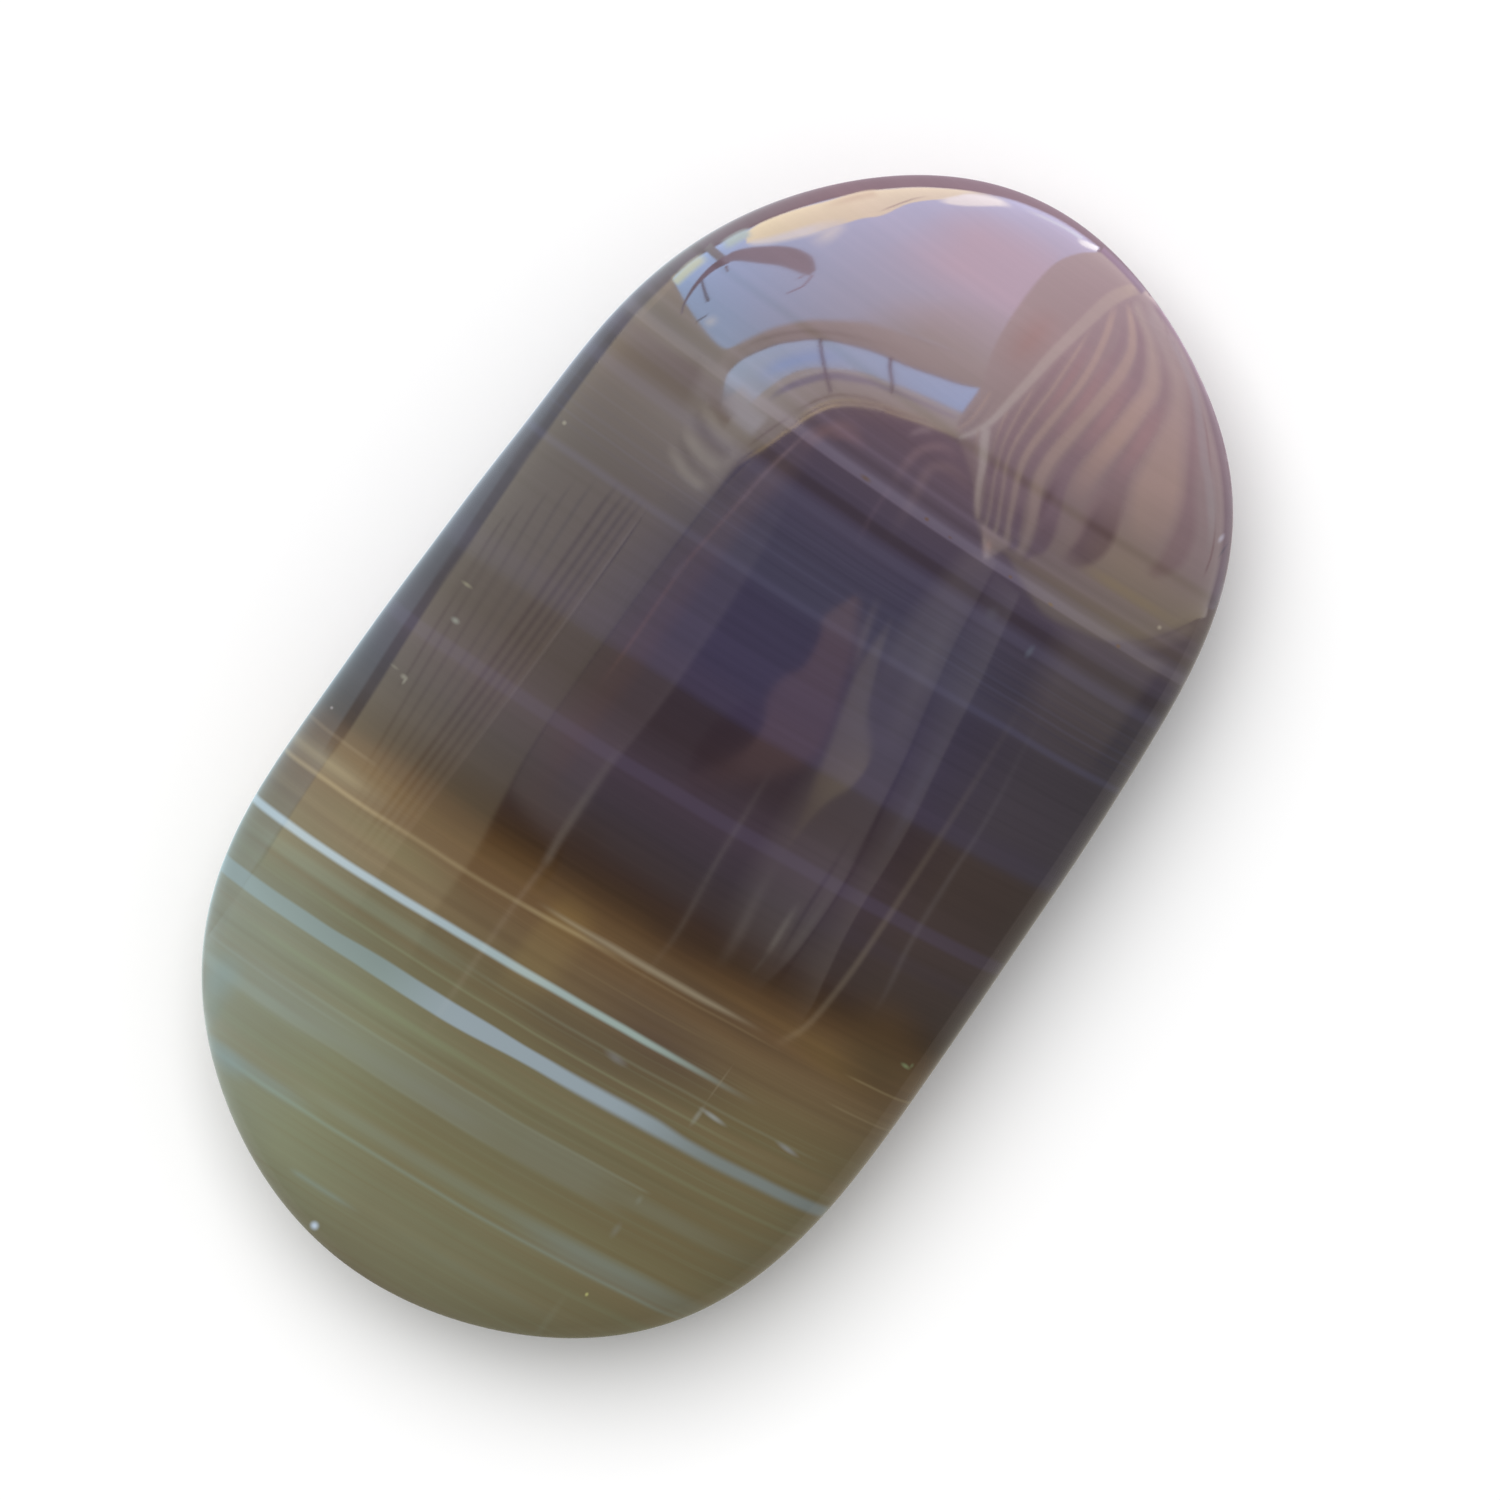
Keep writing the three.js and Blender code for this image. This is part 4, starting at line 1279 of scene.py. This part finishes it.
hang_sheet(
    [(-7.2, -8.75), (-6, -8.7), (-5, -8.5), (-3, -8.15), (-1, -7.95), (0, -7.9), (2, -7.7), (4, -7.35),
     (6, -7.0), (8, -6.7), (9.5, -6.4), (11.8, -5.95)],
    [(-7, -7.2), (-4, -7.1), (-1, -7.0), (2, -6.5), (5, -5.9), (8, -5.2), (11.9, -4.7)],
    ((0.75, 0.68, 0.60), (0.66, 0.62, 0.60), (0.30, 0.28, 0.26), (0.30, 0.28, 0.30)), (0.08, 0.1),
    (0.15, 0.0),
)
hang_sheet(
    [(8.3, -8.2), (8.0, -9.5), (8.0, -11), (8.2, -12.4)],
    [(11.9, -7.6), (12.1, -9), (12.4, -10.5), (13, -12.3)],
    ((0.60, 0.45, 0.35), (0.50, 0.42, 0.30), (0.75, 0.65, 0.48), (0.75, 0.70, 0.50)), (2.0, 0.4),
    (0.3, 0.1),
)
hang_sheet(
    [(-7, 5.6), (-8, 5.55), (-9.2, 5.5)], [(-6, 2.9), (-7.6, 2.6), (-9, 2.7)], (black,) * 4, (0.3, 0.2),
    (0.4, 0.4),
)
hang_strip(
    [(-9.2, 2.85), (-8.2, 2.75), (-7.2, 2.85), (-6.3, 3.0)], [0.15, 0.3, 0.25, 0.1], (0.0, 0.0, 0.0),
    0.15, (0.3, 0.2),
)
# The lines of light: where each runs, its width, its light, its blur and how much fades out.
faint_lines = (
    ([(-16.5, 3.0), (-13, 3.08), (-10, 3.12), (-8.6, 3.1), (-7.6, 3.08)], 0.16, (0.95, 0.85, 0.75),
     0.16, (0.2, 0.1)),
    ([(-7.8, 3.05), (-7.2, 3.12), (-6.5, 3.2), (-5, 3.27), (-3, 3.3), (-2, 3.25)], 0.26,
     (1.3, 1.2, 1.05), 0.24, (0.1, 0.4)),
    ([(-3, 3.28), (-1, 3.15), (1, 3.1), (4, 3.18), (8, 3.4)], 0.16, grey, 0.2, (0.1, 0.5)),
    ([(-0.8, 5.4), (1, 5.38), (3, 5.42), (5, 5.45), (6.5, 5.32), (8, 5.15), (9, 5.02)], 0.12,
     (1.5, 0.92, 0.66), 0.1, (0.2, 0.0)),
    ([(7.5, 5.25), (8.5, 5.1), (9.5, 5.0), (10.5, 4.85), (11.3, 4.7), (12.2, 4.5), (12.9, 4.1)], 0.12,
     (1.8, 1.25, 1.15), 0.1, (0.2, 0.4)),
    ([(4.3, 5.5), (4.8, 5.52), (5.3, 5.48)], 0.22, (1.2, 0.95, 0.85), 0.15, (0.3, 0.3)),
    ([(12.4, 0.6), (13.2, 0.66), (14, 0.58), (14.5, 0.25), (14.8, -0.3), (14.7, -0.9)], 0.32,
     (1.1, 0.75, 0.72), 0.2, (0.3, 0.3)),
    ([(11.4, 4.4), (12.2, 4.2), (12.8, 3.85), (13.25, 3.3), (13.35, 2.6)], 0.45, (1.35, 0.72, 0.48),
     0.35, (0.3, 0.4)),
    ([(12.4, 3.75), (12.85, 3.4), (13.0, 2.8), (12.95, 2.2)], 0.35, (1.2, 0.6, 0.45), 0.25, (0.3, 0.5)),
    ([(9.5, 0.35), (11, 0.6), (12.4, 0.62)], 0.14, (0.6, 0.42, 0.5), 0.14, (0.4, 0.1)),
    ([(10.5, -0.55), (12.5, -0.35), (13.7, -0.2), (14.2, -0.7), (14.2, -1.5), (13.9, -2.0)], 0.35,
     (0.95, 0.68, 0.6), 0.3, (0.3, 0.4)),
    ([(14.3, 1.25), (14.8, 0.95), (15.05, 0.5)], 0.2, (1.6, 1.3, 1.3), 0.15, (0.3, 0.3)),
    ([(-10.5, -2.6), (-8, -2.7), (-7.2, -2.75), (-6, -2.65), (-4.5, -2.45), (-3, -2.3), (-1.5, -2.2),
      (0, -2.06), (1.5, -2.0)], 0.14, (0.95, 0.88, 0.78), 0.14, (0.35, 0.3)),
    ([(-7, -4.85), (-6, -4.78), (-5, -4.65), (-4, -4.48), (-3, -4.36), (-2, -4.3)], 0.34,
     (0.95, 0.88, 0.80), 0.35, (0.3, 0.4)),
    ([(-5.6, -6.12), (-4.5, -6.02), (-3.1, -5.9)], 0.2, (1.7, 1.6, 1.4), 0.18, (0.3, 0.3)),
    ([(-6.5, -6.02), (-5.6, -6.12)], 0.1, (0.7, 0.7, 0.65), 0.12, (0.5, 0.0)),
    ([(-6, -6.62), (-4.5, -6.45), (-3, -6.32), (-1, -6.2), (0.6, -6.0)], 0.16, (0.3, 0.29, 0.3), 0.12,
     (0.3, 0.4)),
    ([(-5.2, -6.75), (-3.5, -6.78), (-1.6, -6.7)], 0.2, (1.0, 0.95, 0.85), 0.15, (0.3, 0.4)),
    ([(3, -5.35), (5, -5.1), (7, -4.7), (9, -4.3), (11, -4.1)], 0.8, (0.95, 0.85, 0.75), 0.7,
     (0.4, 0.3)),
    ([(0.2, -7.6), (2, -7.4), (4, -7.05), (6, -6.7)], 0.3, (0.72, 0.70, 0.74), 0.25, (0.3, 0.4)),
    ([(-8.2, -8.35), (-7.7, -8.65), (-7, -8.95), (-6, -9.1), (-4, -9.18), (-2, -9.13), (0, -9.05),
      (3, -8.9), (6, -8.72), (9, -8.5)], 0.22, (1.15, 1.0, 0.75), 0.16, (0.15, 0.5)),
    ([(-5, -10.85), (-4, -10.78), (-3, -10.6), (-2, -10.43), (0, -10.25), (1.5, -10.15), (3, -10.1),
      (5, -9.9), (7, -9.6), (10.5, -9.15)], 0.17, (0.68, 0.66, 0.62), 0.16, (0.2, 0.5)),
    ([(5.4, -2.45), (6.2, -2.15), (7, -1.88), (8.6, -1.45)], 0.26, (1.15, 0.95, 0.75), 0.22,
     (0.3, 0.3)),
)
for path, width, light, blur, fades in faint_lines:
    hang_strip(path, width, light, blur, fades)
# The two warm hollows, and then the leaf.
gold = (0.80, 0.64, 0.28)
rose = (1.00, 0.58, 0.34)
hang_sheet(
    [(-13.4, 1.8), (-11, 1.95), (-9, 1.85), (-7.6, 1.6)],
    [(-13, 0.2), (-11, 0.2), (-9, 0.1), (-7.6, 0.6)], (gold,) * 4, (0.5, 0.9), (0.3, 0.5),
)
hang_sheet(
    [(-2.6, 1.2), (-1.6, 0.5), (-0.4, -0.2), (0.7, -0.7), (1.8, -0.75), (2.8, -0.2), (3.8, -0.3),
     (4.6, -0.7), (6, -0.5), (6.6, -0.2), (8, -0.7)],
    [(-2.2, 0.2), (-1.2, -0.7), (0, -1.8), (1.5, -3.0), (3, -3.1), (5, -2.4), (6.4, -1.9), (8, -0.9)],
    ((0.55, 0.34, 0.32), rose, (0.50, 0.34, 0.34), rose), (0.2, 0.6), (0.3, 0.0),
)
leaf_pale = (2.0, 1.7, 1.05)
leaf_dim = (1.2, 1.0, 0.65)
hang_sheet(
    [(-2, -4.2), (0, -3.97), (1, -3.72), (2, -3.47), (3, -3.2), (4, -2.9), (5, -2.62), (6, -2.42),
     (7, -2.42), (8.3, -2.4)],
    [(-2, -4.35), (0, -4.4), (1, -4.6), (1.8, -4.95), (2.8, -5.0), (3.6, -4.6), (4.3, -3.95),
     (5, -3.55), (6, -3.15), (7, -2.78), (8.3, -2.45)],
    (leaf_dim, leaf_dim, leaf_pale, (0.9, 0.82, 0.7)), (0.3, 0.15), (0.25, 0.1),
)


# ---------------------------------------------------------------------------------------------
# The tent's cloth: all the sheets in one mesh that gives off its own light. Only the gloss on
# the polish sees it, and where a sheet fades out, the sheets behind it show through.

tent_mesh = bpy.data.meshes.new("light_tent")
tent_mesh.from_pydata(tent_points, [], [face for sheet in tent_sheets for face in sheet])
glow_layer = tent_mesh.color_attributes.new("glow", "FLOAT_COLOR", "POINT")
for point_glow, light in zip(glow_layer.data, tent_glows):
    point_glow.color = light
tent = bpy.data.objects.new("light_tent", tent_mesh)
bpy.context.scene.collection.objects.link(tent)
tent.visible_camera = False
tent.visible_diffuse = False
tent.visible_transmission = False
tent.visible_volume_scatter = False
tent.visible_shadow = False

tent_glow = bpy.data.materials.new("tent_glow")
tent_glow.use_nodes = True
tent_glow.node_tree.nodes.clear()
tent_glow.cycles.emission_sampling = "NONE"
hung = Wire(tent_glow.node_tree)
glow = hung.node("ShaderNodeVertexColor", {"layer_name": "glow"})
glow_alpha = Wire(hung.tree, glow.socket.node.outputs["Alpha"])
clear = hung.node("ShaderNodeBsdfTransparent")
lit = hung.node("ShaderNodeEmission", inputs={"Color": glow})
sheet_look = hung.node("ShaderNodeMixShader", inputs={0: glow_alpha, 1: clear, 2: lit})
hung.node("ShaderNodeOutputMaterial", inputs={"Surface": sheet_look})
tent_mesh.materials.append(tent_glow)
